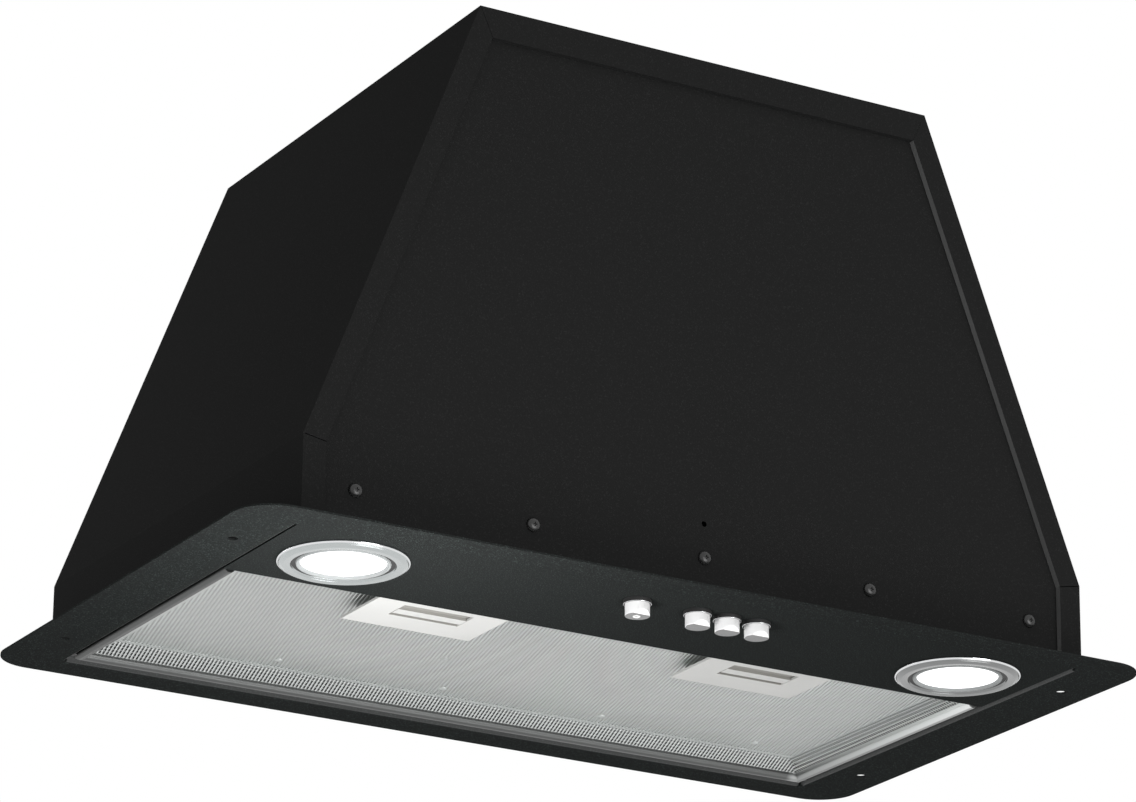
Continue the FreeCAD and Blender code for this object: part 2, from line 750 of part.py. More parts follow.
def body_wrapper(doc, s):
    """One sheet folded over both sides and the top, with returns round the front and the back."""
    body = new_body(doc, "body_wrapper")
    sheet = s.body_sheet
    front = -s.body_front
    rear = s.body_back
    edge = (s.return_side, s.return_top)
    lip = (s.return_side - sheet, s.return_top - sheet)
    screw_hole = s.screw_shank / 2 + s.screw_gap

    def outlet(sketch):
        add_circle(sketch, 0, s.duct_back, s.outlet_hole / 2)
        add_circle(sketch, s.gland_right, s.gland_back, s.gland_thread / 2 + s.screw_gap)
        for x, y, _ in collar_screw_places(s) + blower_screw_places(s):
            add_circle(sketch, x, y, screw_hole)

    def back_holes(sketch):
        for x, _, z in back_screw_places(s):
            add_circle(sketch, x, z, screw_hole)

    pad(body, "XZ", front, rear, lambda k: add_arch(k, s, (0, 0), (sheet, sheet)))
    pad(body, "XZ", front, front + sheet, lambda k: add_arch(k, s, (sheet, sheet), edge))
    pad(body, "XZ", front + sheet, front + s.return_lip, lambda k: add_arch(k, s, lip, edge))
    pad(body, "XZ", rear - sheet, rear, lambda k: add_arch(k, s, (sheet, sheet), edge))
    for side in (-1, 1):
        cut_box(body, (side * wall_outside(s), side * s.body_width / 2), bend_span(s),
                (0, s.side_bend - s.flange_sheet))
    pocket(body, "XZ", front, front + sheet, lambda k: add_mitres(k, s))
    pocket(body, "XY", s.body_height - sheet, s.body_height, outlet)
    pocket(body, "XZ", rear - sheet, rear, back_holes)
    return body


def front_panel(doc, s):
    """Flat panel behind the lip of the front return."""
    body = new_body(doc, "front_panel")
    depth = s.body_sheet + s.panel_gap
    low = panel_face(s)
    high = fascia_face(s)

    def holes(sketch):
        for x in front_screw_xs(s):
            add_circle(sketch, x, s.front_screw_height, s.screw_shank / 2 + s.screw_gap)
        add_circle(sketch, 0, s.pilot_height, s.pilot_hole / 2)

    pad(body, "XZ", low, high, lambda k: add_polygon(k, body_profile(s, depth, depth)))
    pocket(body, "XZ", low, high, holes)
    return body


def back_panel(doc, s):
    """Flat panel behind the rear return, with a foot that stands on the flange."""
    body = new_body(doc, "back_panel")
    depth = s.body_sheet + s.panel_gap
    high = s.body_back - s.body_sheet
    low = high - s.body_sheet
    half = s.body_width / 2 - s.return_side

    def holes(sketch):
        for x, _, z in back_screw_places(s):
            add_circle(sketch, x, z, s.screw_shank / 2 + s.screw_gap)

    pad(body, "XZ", low, high, lambda k: add_polygon(k, body_profile(s, depth, depth)))
    pad_box(body, (-half, half), (high - s.back_foot, low), (0, s.body_sheet))
    pocket(body, "XZ", low, high, holes)
    return body


# ---------------------------------------------------------------- control fascia

def latch_low(s):
    """Underside of the latch slides."""
    return s.handle_drop + s.handle_wall + s.latch_gap


def control_fascia(doc, s):
    """Tray that carries the lamps and the push buttons, hung from the front panel."""
    body = new_body(doc, "control_fascia")
    sheet = s.fascia_sheet
    half = wall_inside(s) - s.fascia_gap
    front = fascia_face(s)
    rear = -s.fascia_rear
    slot = s.latch_tongue / 2 + 3 * s.latch_gap
    slot_low = latch_low(s) - s.latch_gap
    slot_high = latch_low(s) + s.latch_sheet + 3 * s.latch_gap

    def ends(sketch):
        add_rectangle(sketch, -half, front + sheet, -half + sheet, rear - s.fascia_end)
        add_rectangle(sketch, half - sheet, front + sheet, half, rear - s.fascia_end)

    def holes(sketch):
        for side in (-1, 1):
            add_circle(sketch, side * s.lamp_spacing / 2, -s.lamp_front, s.bezel_neck / 2 + s.hole_gap)
        for x in button_xs(s):
            add_circle(sketch, x, -s.button_front, s.button_width / 2 + s.hole_gap)

    def front_holes(sketch):
        for x in front_screw_xs(s):
            add_circle(sketch, x, s.front_screw_height, s.screw_shank / 2 + s.screw_gap)

    def latch_slots(sketch):
        for side in (-1, 1):
            middle = side * s.handle_spacing / 2
            add_rectangle(sketch, middle - slot, slot_low, middle + slot, slot_high)

    pad_box(body, (-half, half), (front, rear), (0, sheet))
    pad_box(body, (-half, half), (front, front + sheet), (0, s.fascia_front_height))
    pad_box(body, (-half, half), (rear - sheet, rear), (0, s.fascia_rear_height))
    pad(body, "XY", 0, s.fascia_rear_height, ends)
    pocket(body, "XY", 0, sheet, holes)
    pocket(body, "XZ", front, front + sheet, front_holes)
    pocket(body, "XZ", rear - sheet, rear, latch_slots)
    return body


def lamp_bezel(doc, s, label, side):
    """Stepped ring with a groove, and a neck through the fascia."""
    body = new_body(doc, label)
    rim = s.bezel_width / 2
    neck = s.bezel_neck / 2
    lit = s.lit_width / 2
    drop = s.bezel_drop
    bore = s.lamp_can / 2 + s.hole_gap
    seat = s.lens_seat
    pocket_rim = s.lens_width / 2 + s.hole_gap
    lens_top = seat + s.lens_thickness
    bevel = s.bezel_bevel
    wall = s.bezel_groove_wall
    groove = neck - wall - s.bezel_groove
    profile = (
        (rim, 0), (rim, -drop * 0.3), (rim - bevel / 4, -drop * 0.75), (rim - bevel, -drop),
        (neck, -drop * 0.9), (neck - wall, -drop * 0.3), (groove, -drop * 0.3),
        (groove - wall, -drop * 0.9), (lit + s.bezel_inner_bevel, -drop * 0.9), (lit, -drop * 0.5),
        (lit, seat), (pocket_rim, seat), (pocket_rim, lens_top), (bore, lens_top),
        (bore, s.bezel_neck_height), (neck, s.bezel_neck_height), (neck, 0),
    )
    revolve(body, "XZ", "Z", lambda k: add_polygon(k, profile))
    place(body, side * s.lamp_spacing / 2, -s.lamp_front, 0)
    return body


def lamp_lens(doc, s, label, side):
    """Frosted disc over the light source."""
    lens = doc.addObject("Part::Cylinder", "Lens_" + label)
    lens.Label = label
    bind(lens, "Radius", s.lens_width / 2)
    bind(lens, "Height", s.lens_thickness)
    place(lens, side * s.lamp_spacing / 2, -s.lamp_front, s.lens_seat)
    return lens


def lamp_housing(doc, s, label, side):
    """Finned can behind the lens, with a shoulder that rests on the bezel's neck."""
    body = new_body(doc, label)
    radius = s.lamp_can / 2
    low = s.lens_seat + s.lens_thickness
    shoulder = s.bezel_neck_height
    start = shoulder + s.lamp_shoulder
    top = low + s.lamp_can_height
    step = (top - start) / (2 * s.lamp_fins)
    neck = s.bezel_neck / 2
    profile = [(0, low), (radius, low), (radius, shoulder), (neck, shoulder), (neck, start)]
    for number in range(int(s.lamp_fins.value)):
        base = start + step * (2 * number + 1)
        profile += [(radius * 0.65, base - step), (radius * 0.65, base), (radius * 0.9, base),
                    (radius * 0.9, base + step)]
    profile.append((0, top))
    revolve(body, "XZ", "Z", lambda k: add_polygon(k, profile))
    place(body, side * s.lamp_spacing / 2, -s.lamp_front, 0)
    return body


def lamp_clips(doc, s):
    """Leaf springs that press the bezels against the fascia, two to a lamp."""
    neck = s.bezel_neck / 2
    high = s.bezel_neck_height
    foot = s.fascia_sheet
    clips = []
    for lamp in (-1, 1):
        for side in (-1, 1):
            clip = new_body(doc, "lamp_clip_%d" % (len(clips) + 1))
            toe = neck + s.clip_reach
            points = ((side * neck, high - s.clip_hold), (side * neck, high),
                      (side * toe, foot), (side * (toe - s.clip_sheet), foot))
            pad(clip, "XZ", -s.clip_width / 2, s.clip_width / 2, lambda k: add_polygon(k, points))
            place(clip, lamp * s.lamp_spacing / 2, -s.lamp_front, 0)
            clips.append(clip)
    return group(doc, "lamp_clips", clips)


def push_button(doc, s, label, x, marked):
    """Round cap with a bevelled end and a stem into the switch bank."""
    body = new_body(doc, label)
    radius = s.button_width / 2
    low = -s.button_drop
    cap_top = s.fascia_sheet
    stem_top = cap_top + s.switch_height / 2
    bevel = s.button_bevel
    pad(body, "XY", low, cap_top, lambda k: add_circle(k, 0, 0, radius))
    pad(body, "XY", cap_top, stem_top, lambda k: add_circle(k, 0, 0, s.button_stem / 2))
    corner = ((-radius - 1, low - 1), (-radius + bevel + 1, low - 1), (-radius - 1, low + bevel + 1))
    pocket(body, "YZ", -radius - 1, radius + 1, lambda k: add_polygon(k, corner))
    if marked:
        pocket(body, "XY", low, low + s.button_mark_depth,
               lambda k: add_circle(k, 0, s.button_mark_back, s.button_mark / 2))
    place(body, x, -s.button_front, 0)
    return body


def button_collars(doc, s):
    """Thin rings round the push buttons, under the fascia."""
    body = new_body(doc, "button_collars")
    inner = s.button_width / 2 + s.hole_gap

    def rings(sketch):
        for x in button_xs(s):
            add_ring(sketch, x, -s.button_front, s.collar_width / 2, inner)

    pad(body, "XY", -s.collar_height, 0, rings)
    return body


def switch_ends(s):
    """Left and right end of the switch bank."""
    return button_xs(s)[0] - s.switch_end, button_xs(s)[3] + s.switch_end


def switch_bank(doc, s):
    """Block of four latching switches on the fascia, with blade terminals on its top."""
    body = new_body(doc, "switch_bank")
    low = s.fascia_sheet
    high = low + s.switch_height
    left, right = switch_ends(s)
    front = -s.button_front - s.switch_depth / 2
    rear = -s.button_front + s.switch_depth / 2
    cap = low + s.button_travel + s.switch_clear
    stem = low + s.switch_height / 2 + s.button_travel + s.switch_clear

    def bores(radius):
        def draw(sketch):
            for x in button_xs(s):
                add_circle(sketch, x, -s.button_front, radius)
        return draw

    def blades(sketch):
        half = s.blade_terminal_width / 2
        back = rear - half
        for x in button_xs(s):
            add_rectangle(sketch, x - half, back - s.blade_terminal_sheet, x + half, back)

    pad_box(body, (left, right), (front, rear), (low, high))
    pad(body, "XY", high, high + s.blade_terminal_length, blades)
    pocket(body, "XY", low, cap, bores(s.button_width / 2 + s.hole_gap))
    pocket(body, "XY", cap, stem, bores(s.button_stem / 2 + s.hole_gap))
    return body


def switch_bracket(doc, s):
    """Angle over the switch bank, held by the middle screw of the front panel."""
    body = new_body(doc, "switch_bracket")
    half = s.button_pitch
    face = fascia_face(s) + s.fascia_sheet
    top = s.fascia_sheet + s.switch_height
    hole = s.screw_shank / 2 + s.screw_gap
    pad_box(body, (-half, half), (face, -s.button_front), (top, top + s.fascia_sheet))
    pad_box(body, (-half, half), (face, face + s.fascia_sheet), (s.front_screw_height / 2, top))
    pocket(body, "XZ", face, face + s.fascia_sheet, lambda k: add_circle(k, 0, s.front_screw_height, hole))
    return body


# ---------------------------------------------------------------- grease filter

def filter_inner(s):
    """Left, front, right and rear edge of the opening in the filter frame."""
    half = filter_half(s) - s.filter_rim
    return -half, filter_front(s) + s.filter_front_rim, half, filter_rear(s) - s.filter_rim


def inset(edges, distance):
    """Four edges moved inwards by a distance."""
    left, front, right, rear = edges
    return left + distance, front + distance, right - distance, rear - distance


def screen_edges(s):
    """Edges of the screen's raised flat."""
    left, front, right, rear = filter_inner(s)
    slope = s.screen_slope
    return left + slope, front + s.screen_front_slope, right - slope, rear - slope


def sheet_edges(s):
    """Edges of a sheet that lies in the frame's channel."""
    whole = (-filter_half(s), filter_front(s), filter_half(s), filter_rear(s))
    return inset(whole, s.filter_wall + s.hole_gap)


def filter_frame(doc, s):
    """Aluminium channel on a half-round bead along the sides and the rear, with a thin front bar."""
    body = new_body(doc, "filter_frame")
    half = filter_half(s)
    front = filter_front(s)
    rear = filter_rear(s)
    low = filter_low(s)
    high = low + s.filter_height
    wall = s.filter_wall
    slot = s.latch_tongue / 2 + 3 * s.latch_gap
    left, front_inner, right, rear_inner = filter_inner(s)

    def bead(sketch):
        add_polygon(sketch, ((-half, front), (left, front), (left, rear_inner), (right, rear_inner),
                             (right, front), (half, front), (half, rear), (-half, rear)))

    def lower_edge(edge):
        box = edge.BoundBox
        across = box.YMax < front.value + 1
        return box.ZMax < low.value + 0.01 and not across

    def pivot_hole(sketch):
        add_circle(sketch, pivot_y(s), pivot_z(s), s.pivot_pin / 2 + s.pivot_gap)

    pad(body, "XY", low, high, bead)
    fillet_edges(body, s.filter_rim_radius, lower_edge)
    pad_box(body, (left, right), (front, front_inner), (s.filter_front_drop, high))
    cut_box(body, (-half + wall, half - wall), (front + wall, rear - wall),
            (screen_low(s), high - s.filter_upper_web))
    for side in (-1, 1):
        middle = side * s.handle_spacing / 2
        cut_box(body, (middle - slot, middle + slot), (front, front + wall),
                (latch_low(s) - s.latch_gap, latch_low(s) + s.latch_sheet + 3 * s.latch_gap))
        spans = (half - wall, half) if side > 0 else (-half, -half + wall)
        pocket(body, "YZ", *spans, pivot_hole)
    return body


def loft(body, kind, levels):
    """Adds or subtracts a loft between rectangles: (height, edges) from the lowest up."""
    sketches = []
    for height, edges in levels:
        sketch = new_sketch(body, "XY", height)
        add_rectangle(sketch, *edges)
        sketches.append(sketch)
    feature = body.newObject("PartDesign::" + kind, kind)
    feature.Profile = sketches[0]
    feature.Sections = sketches[1:]
    return feature


def add_rivet_holes(sketch, s):
    """Clearance holes of the rivets."""
    for x, y in rivet_points(s):
        add_circle(sketch, x, y, s.rivet_shank / 2 + s.screw_gap)


def filter_screen(doc, s):
    """Lower sheet: a rim in the channel, sloping borders and a raised flat."""
    body = new_body(doc, "filter_screen")
    sheet = s.screen_sheet
    low = screen_low(s)
    high = screen_flat(s)
    edge = filter_inner(s)
    top = screen_edges(s)
    left, front, right, rear = sheet_edges(s)
    foot = inset(edge, -s.screen_lap)
    loft(body, "AdditiveLoft", ((low, (foot[0], front, foot[2], foot[3])), (high + sheet, top)))
    pad_box(body, (left, right), (front, rear), (low, low + sheet))
    loft(body, "SubtractiveLoft", ((low, edge), (high, inset(top, s.hole_gap))))
    half = s.handle_width / 2 + s.hole_gap
    for side in (-1, 1):
        middle = side * s.handle_spacing / 2
        cut_box(body, (middle - half, middle + half), (edge[1], top[1] + s.screen_lap), (low, high + sheet))
    pocket(body, "XY", high, high + sheet, lambda k: add_rivet_holes(k, s))
    return body


def filter_core(doc, s):
    """Pack of expanded mesh on the screen's flat, notched beside the latch handles."""
    body = new_body(doc, "filter_core")
    left, front, right, rear = inset(screen_edges(s), s.hole_gap)
    low = core_low(s)
    high = low + s.core_thickness
    pad_box(body, (left, right), (front, rear), (low, high))
    pocket(body, "XY", low, high, lambda k: add_rivet_holes(k, s))
    half = s.core_notch / 2
    for side in (-1, 1):
        edge = side * s.handle_spacing / 2 - s.handle_width / 2
        cut_box(body, (edge - half, edge + half), (front, front + s.core_notch), (low, high))
    return body


def filter_backing(doc, s):
    """Upper sheet between the mesh and the frame's upper web."""
    body = new_body(doc, "filter_backing")
    left, front, right, rear = sheet_edges(s)
    low = core_low(s) + s.core_thickness
    pad_box(body, (left, right), (front, rear), (low, low + s.screen_sheet))
    pocket(body, "XY", low, low + s.screen_sheet, lambda k: add_rivet_holes(k, s))
    return body


def filter_rivets(doc, s):
    """Rivets that hold the screen, the mesh and the backing together."""
    low = screen_flat(s)
    high = core_low(s) + s.core_thickness + s.screen_sheet
    shank = s.rivet_shank / 2
    head = s.rivet_shank * 0.9
    rise = s.rivet_shank * 0.2
    profile = ((0, low - rise), (head, low), (shank, low), (shank, high), (head, high), (0, high + rise))
    rivets = []
    for x, y in rivet_points(s):
        rivet = new_body(doc, "filter_rivet_%d" % (len(rivets) + 1))
        revolve(rivet, "XZ", "Z", lambda k: add_polygon(k, profile))
        place(rivet, x, y, 0)
        rivets.append(rivet)
    return group(doc, "filter_rivets", rivets)


def filter_pivot_pins(doc, s):
    """Stub pins from the filter frame into the base frame's side walls."""
    pins = []
    for side in (-1, 1):
        start = filter_half(s) - s.filter_wall
        length = wall_outside(s) - start - s.hole_gap
        pin = doc.addObject("Part::Cylinder", "PivotPin")
        bind(pin, "Radius", s.pivot_pin / 2)
        bind(pin, "Height", length)
        place(pin, side * start, pivot_y(s), pivot_z(s), FACING["right" if side > 0 else "left"])
        pins.append(pin)
    return group(doc, "filter_pivot_pins", pins)


def handle_front(s):
    """Front edge of the latch handles."""
    return filter_front(s) + s.filter_front_rim + s.hole_gap


def filter_handle(doc, s, label, side):
    """Face plate with a finger window, on a narrower housing under the screen."""
    body = new_body(doc, label)
    middle = side * s.handle_spacing / 2
    half = s.handle_width / 2
    front = handle_front(s)
    rear = front + s.handle_depth
    wall = s.handle_wall
    low = s.handle_drop
    high = screen_flat(s)
    window = s.pull_width / 2
    box_half = half - s.handle_overhang
    box_rear = rear - s.handle_rear_overhang
    inside = box_half - wall
    pad_box(body, (middle - half, middle + half), (front, rear), (low, low + wall))
    pad_box(body, (middle - box_half, middle + box_half), (front, box_rear), (low, high))
    cut_box(body, (middle - inside, middle + inside), (front, box_rear - wall), (low + wall, high))
    cut_box(body, (middle - window, middle + window), (-s.pull_rear - s.pull_depth, -s.pull_rear),
            (low, low + wall))
    return body


def latch(doc, s, label, side):
    """Slide with a finger bar in the window and a tongue over the fascia's rear flange."""
    body = new_body(doc, label)
    middle = side * s.handle_spacing / 2
    low = latch_low(s)
    high = low + s.latch_sheet
    rear = -s.pull_rear + s.latch_border
    front = handle_front(s) + s.handle_wall
    half = s.pull_width / 2 + s.latch_border
    bar_half = s.pull_width / 2 - s.latch_gap
    bar_rear = -s.pull_rear - s.latch_travel - s.latch_gap
    tongue = s.latch_tongue / 2
    tip = -s.fascia_rear - s.latch_engage
    pad_box(body, (middle - half, middle + half), (front, rear), (low, high))
    pad_box(body, (middle - tongue, middle + tongue), (tip, front), (low, high))
    pad_box(body, (middle - bar_half, middle + bar_half), (bar_rear - s.pull_bar, bar_rear),
            (s.handle_drop, low))
    return body


# ---------------------------------------------------------------- outlet and damper

def flap_axis(s):
    """Height of the flap pin above the body's top."""
    return s.duct_ledge + s.flap_sheet + s.flap_pin / 2 - s.hole_gap


def outlet_collar(doc, s):
    """Round spigot with a flange, an inner ledge for the flaps and holes for their pin."""
    body = new_body(doc, "outlet_collar")
    outer = s.duct_width / 2
    inner = outer - s.duct_sheet
    flange = s.duct_flange / 2
    sheet = s.duct_sheet
    ledge = s.duct_ledge
    profile = ((inner, 0), (flange, 0), (flange, sheet), (outer, sheet), (outer, s.duct_height),
               (inner, s.duct_height), (inner, ledge), (inner - s.duct_ledge_width, ledge),
               (inner - s.duct_ledge_width, ledge - sheet), (inner, ledge - sheet))

    def screw_holes(sketch):
        for x, y, _ in collar_screw_places(s):
            add_circle(sketch, x, y - s.duct_back, s.screw_shank / 2 + s.screw_gap)

    revolve(body, "XZ", "Z", lambda k: add_polygon(k, profile))
    pocket(body, "XY", 0, sheet, screw_holes)
    pocket(body, "YZ", -flange, flange,
           lambda k: add_circle(k, 0, flap_axis(s), s.flap_pin / 2 + s.fit_gap))
    place(body, 0, s.duct_back, s.body_height)
    return body


def damper_pin(doc, s):
    """Pin across the spigot that both flaps turn on."""
    pin = doc.addObject("Part::Cylinder", "DamperPin")
    pin.Label = "damper_pin"
    bind(pin, "Radius", s.flap_pin / 2)
    bind(pin, "Height", s.duct_width)
    place(pin, -s.duct_width / 2, s.duct_back, s.body_height + flap_axis(s), FACING["right"])
    return pin


def damper_flap(doc, s, label, side):
    """Half disc that rests on the ledge, with knuckles round the pin."""
    body = new_body(doc, label)
    radius = s.duct_width / 2 - s.duct_sheet - s.flap_gap
    low = s.duct_ledge + s.hole_gap
    high = low + s.flap_sheet
    start = s.flap_edge
    pitch = s.flap_knuckle_width + s.flap_knuckle_gap
    # Each flap has every second knuckle; the other flap's knuckles fill its gaps.
    firsts = [s.flap_knuckle_gap / 2 + pitch * number for number in (-2, 0)]
    axis = flap_axis(s)

    def knuckle(sketch):
        add_circle(sketch, 0, axis, s.flap_knuckle / 2)

    pad(body, "XY", low, high, lambda k: add_circle(k, 0, 0, radius))
    # The other half of the disc is cut away, up to the near edge of this flap.
    edges = (-radius - 1, start) if side > 0 else (-start, radius + 1)
    cut_box(body, (-radius - 1, radius + 1), edges, (low, high))
    for first in firsts:
        last = first + s.flap_knuckle_width
        left, right = (first, last) if side > 0 else (-last, -first)
        reach = (0, start) if side > 0 else (-start, 0)
        pad_box(body, (left, right), reach, (low, high))
        pad(body, "YZ", left, right, knuckle)
    pocket(body, "YZ", -radius, radius,
           lambda k: add_circle(k, 0, axis, s.flap_pin / 2 + s.fit_gap))
    place(body, 0, s.duct_back, s.body_height)
    return body


# ---------------------------------------------------------------- blower

def blower_top(s):
    """Underside of the body's top sheet."""
    return s.body_height - s.body_sheet


def throat_edges(s):
    """Inner faces of the throat's front and rear walls."""
    return impeller_y(s) - s.throat_front, impeller_y(s) + s.scroll_step / 2 + s.scroll_radius


def blower_screw_places(s):
    """Screws through the body's top into the side lips of the blower housing."""
    front, rear = throat_edges(s)
    reach = s.volute_length / 2 + s.volute_sheet + s.outlet_lip / 2
    inset_y = s.outlet_screw_inset
    return [(x * reach, y, s.body_height) for x in (-1, 1) for y in (front + inset_y, rear - inset_y)]


def add_scroll(sketch, s, grow):
    """The scroll's wall as a chain: rear wall, three arcs of falling radius, front wall.

    Each quarter's centre is stepped round a small square, so that neighbouring arcs share
    their tangent. Returns the numbers of the first and the last line.
    """
    centre_y = impeller_y(s)
    centre_z = s.impeller_height
    step = s.scroll_step
    near = step / 2
    centres = ((centre_y + near, centre_z + near), (centre_y + near, centre_z - near),
               (centre_y - near, centre_z - near))
    radii = (s.scroll_radius + grow, s.scroll_radius + grow - step, s.scroll_radius + grow - 2 * step)
    rear = centre_y + near + radii[0]
    front = centre_y - s.throat_front - grow
    top = blower_top(s)
    across = (front - centres[2][0]).value / radii[2].value
    tongue = math.degrees(math.acos(across))
    tongue_z = centres[2][1] + radii[2] * math.sin(math.radians(tongue))

    first = sketch.addGeometry(Part.LineSegment(flat(rear, top), flat(rear, centres[0][1])))
    arcs = []
    for (y, z), radius, start, end in zip(centres, radii, (270, 180, tongue), (360, 270, 180)):
        arcs.append(add_arc(sketch, y, z, radius, start, end))
        hold_point(sketch, arcs[-1], 3, y, z)
    last = sketch.addGeometry(Part.LineSegment(flat(front, tongue_z), flat(front, top)))

    hold_point(sketch, first, 1, rear, top)
    hold_point(sketch, first, 2, rear, centres[0][1])
    sketch.addConstraint(Sketcher.Constraint("Coincident", arcs[0], 2, first, 2))
    hold(sketch, "DistanceX", arcs[0], 1, centres[0][0])
    sketch.addConstraint(Sketcher.Constraint("Coincident", arcs[1], 2, arcs[0], 1))
    hold(sketch, "DistanceY", arcs[1], 1, centres[1][1])
    sketch.addConstraint(Sketcher.Constraint("Coincident", arcs[2], 2, arcs[1], 1))
    sketch.addConstraint(Sketcher.Constraint("Coincident", arcs[2], 1, last, 1))
    hold(sketch, "DistanceX", last, 1, front)
    hold_point(sketch, last, 2, front, top)
    return first, last


def add_bend(sketch, side, wall, low, top, radius, sheet):
    """A sheet that turns up from flat into a wall: the wall's face, and the side the flat lies on."""
    centre = wall + side * radius
    height = low + radius
    first = 180 if side > 0 else 270
    arcs = []
    for size in (radius, radius - sheet):
        arc = add_arc(sketch, centre, height, size, first, first + 90)
        hold_point(sketch, arc, 3, centre, height)
        hold_radius(sketch, arc, size)
        upper, lower = (1, 2) if side > 0 else (2, 1)
        hold(sketch, "DistanceY", arc, upper, height)
        hold(sketch, "DistanceX", arc, lower, centre)
        arcs.append((arc, upper, lower))
    (outer, upper, lower), inner = arcs[0], arcs[1][0]
    corners = []
    for arc, x in ((outer, wall), (inner, wall + side * sheet)):
        line = sketch.addGeometry(Part.LineSegment(sketch.getPoint(arc, upper), flat(x, top)))
        sketch.addConstraint(Sketcher.Constraint("Coincident", line, 1, arc, upper))
        hold_point(sketch, line, 2, x, top)
        corners.append(line)
    join_points(sketch, corners[0], 2, corners[1], 2)
    join_points(sketch, outer, lower, inner, lower)


def join_points(sketch, first, first_end, second, second_end):
    """Closes a gap between two chain ends with a line."""
    start = sketch.getPoint(first, first_end)
    end = sketch.getPoint(second, second_end)
    line = sketch.addGeometry(Part.LineSegment(start, end))
    sketch.addConstraint(Sketcher.Constraint("Coincident", line, 1, first, first_end))
    sketch.addConstraint(Sketcher.Constraint("Coincident", line, 2, second, second_end))


def add_scroll_face(sketch, s, grow):
    """The whole side of the blower housing."""
    first, last = add_scroll(sketch, s, grow)
    join_points(sketch, last, 2, first, 1)


def add_scroll_band(sketch, s):
    """The scroll's wall seen from the side."""
    outer = add_scroll(sketch, s, s.volute_sheet)
    inner = add_scroll(sketch, s, dim(0))
    join_points(sketch, outer[0], 1, inner[0], 1)
    join_points(sketch, inner[1], 2, outer[1], 2)


def bracket_screw_points(s):
    """Bracket screws round the motor axis, as offsets along Y and Z."""
    angles = [math.radians(90 + 120 * number) for number in range(3)]
    return [(s.bracket_reach * math.cos(angle), s.bracket_reach * math.sin(angle)) for angle in angles]


def blower_housing(doc, s, label, side):
    """Half of the scroll housing: side wall, half of the scroll's wall and an outlet lip."""
    body = new_body(doc, label)
    inside = s.volute_length / 2
    outside = inside + s.volute_sheet
    top = blower_top(s)
    front, rear = throat_edges(s)

    def spans(low, high):
        return (low, high) if side > 0 else (-high, -low)

    def inlet(sketch):
        add_circle(sketch, impeller_y(s), s.impeller_height, s.inlet_width / 2)
        if side < 0:
            for y, z in bracket_screw_points(s):
                add_circle(sketch, impeller_y(s) + y, s.impeller_height + z,
                           s.screw_shank / 2 + s.screw_gap)

    def lip_holes(sketch):
        for x, y, _ in blower_screw_places(s):
            if x.value * side > 0:
                add_circle(sketch, x, y, s.screw_shank / 2 + s.screw_gap)

    pad(body, "YZ", *spans(dim(0), inside), lambda k: add_scroll_band(k, s))
    pad(body, "YZ", *spans(inside, outside), lambda k: add_scroll_face(k, s, s.volute_sheet))
    pad_box(body, spans(outside, outside + s.outlet_lip), (front, rear), (top - s.volute_sheet, top))
    pocket(body, "YZ", *spans(inside, outside), inlet)
    pocket(body, "XY", top - s.volute_sheet, top, lip_holes)
    return body


def inlet_ring(doc, s, label, side):
    """Flared ring inside an inlet, close to the impeller's end ring."""
    body = new_body(doc, label)
    outer = s.inlet_width / 2
    face = s.volute_length / 2
    tip = s.impeller_length / 2 + s.inlet_clear
    seat = face - s.inlet_sheet
    flange = outer + s.inlet_flange
    lip = outer - s.inlet_taper
    profile = [(face, outer - s.inlet_lip), (face, flange), (seat, flange), (seat, outer),
               (tip, lip), (tip, lip - s.inlet_lip)]
    points = [(side * x, radius) for x, radius in profile]
    revolve(body, "XZ", "X", lambda k: add_polygon(k, points))
    place(body, 0, impeller_y(s), s.impeller_height)
    return body


def add_blade(sketch, s):
    """One forward-curved blade: two arcs on one centre, cut square at both ends."""
    outer = s.impeller_width / 2
    high = outer - s.blade_inset
    low = high - s.blade_depth
    half = (high - low) / 2
    radius = s.blade_radius
    y = -root(radius * radius - half * half)
    z = (low + high) / 2
    arcs = []
    for size in (radius + s.blade_sheet / 2, radius - s.blade_sheet / 2):
        angle = math.degrees(math.asin(half.value / size.value))
        arc = add_arc(sketch, y, z, size, -angle, angle)
        hold_point(sketch, arc, 3, y, z)
        hold_radius(sketch, arc, size)
        hold(sketch, "DistanceY", arc, 1, low)
        hold(sketch, "DistanceY", arc, 2, high)
        arcs.append(arc)
    join_points(sketch, arcs[0], 1, arcs[1], 1)
    join_points(sketch, arcs[0], 2, arcs[1], 2)


def blade_ring(doc, s, label, side):
    """Curved blades from the centre disc to an end ring, on one side of the wheel."""
    body = new_body(doc, label)
    outer = s.impeller_width / 2
    tip = s.impeller_length / 2
    root_face = s.impeller_disc / 2
    band = outer - s.impeller_band
    low, high = (root_face, tip) if side > 0 else (-tip, -root_face)
    blade = pad(body, "YZ", low, high, lambda k: add_blade(k, s))
    pattern = body.newObject("PartDesign::PolarPattern", "Blades")
    pattern.Originals = [blade]
    pattern.Axis = (origin_feature(body, "X_Axis"), [""])
    pattern.Angle = 360
    bind(pattern, "Occurrences", s.blade_count)
    body.Tip = pattern
    start = tip - s.impeller_ring if side > 0 else -tip
    pad(body, "YZ", start, start + s.impeller_ring, lambda k: add_ring(k, 0, 0, outer, band))
    place(body, 0, impeller_y(s), s.impeller_height)
    return body


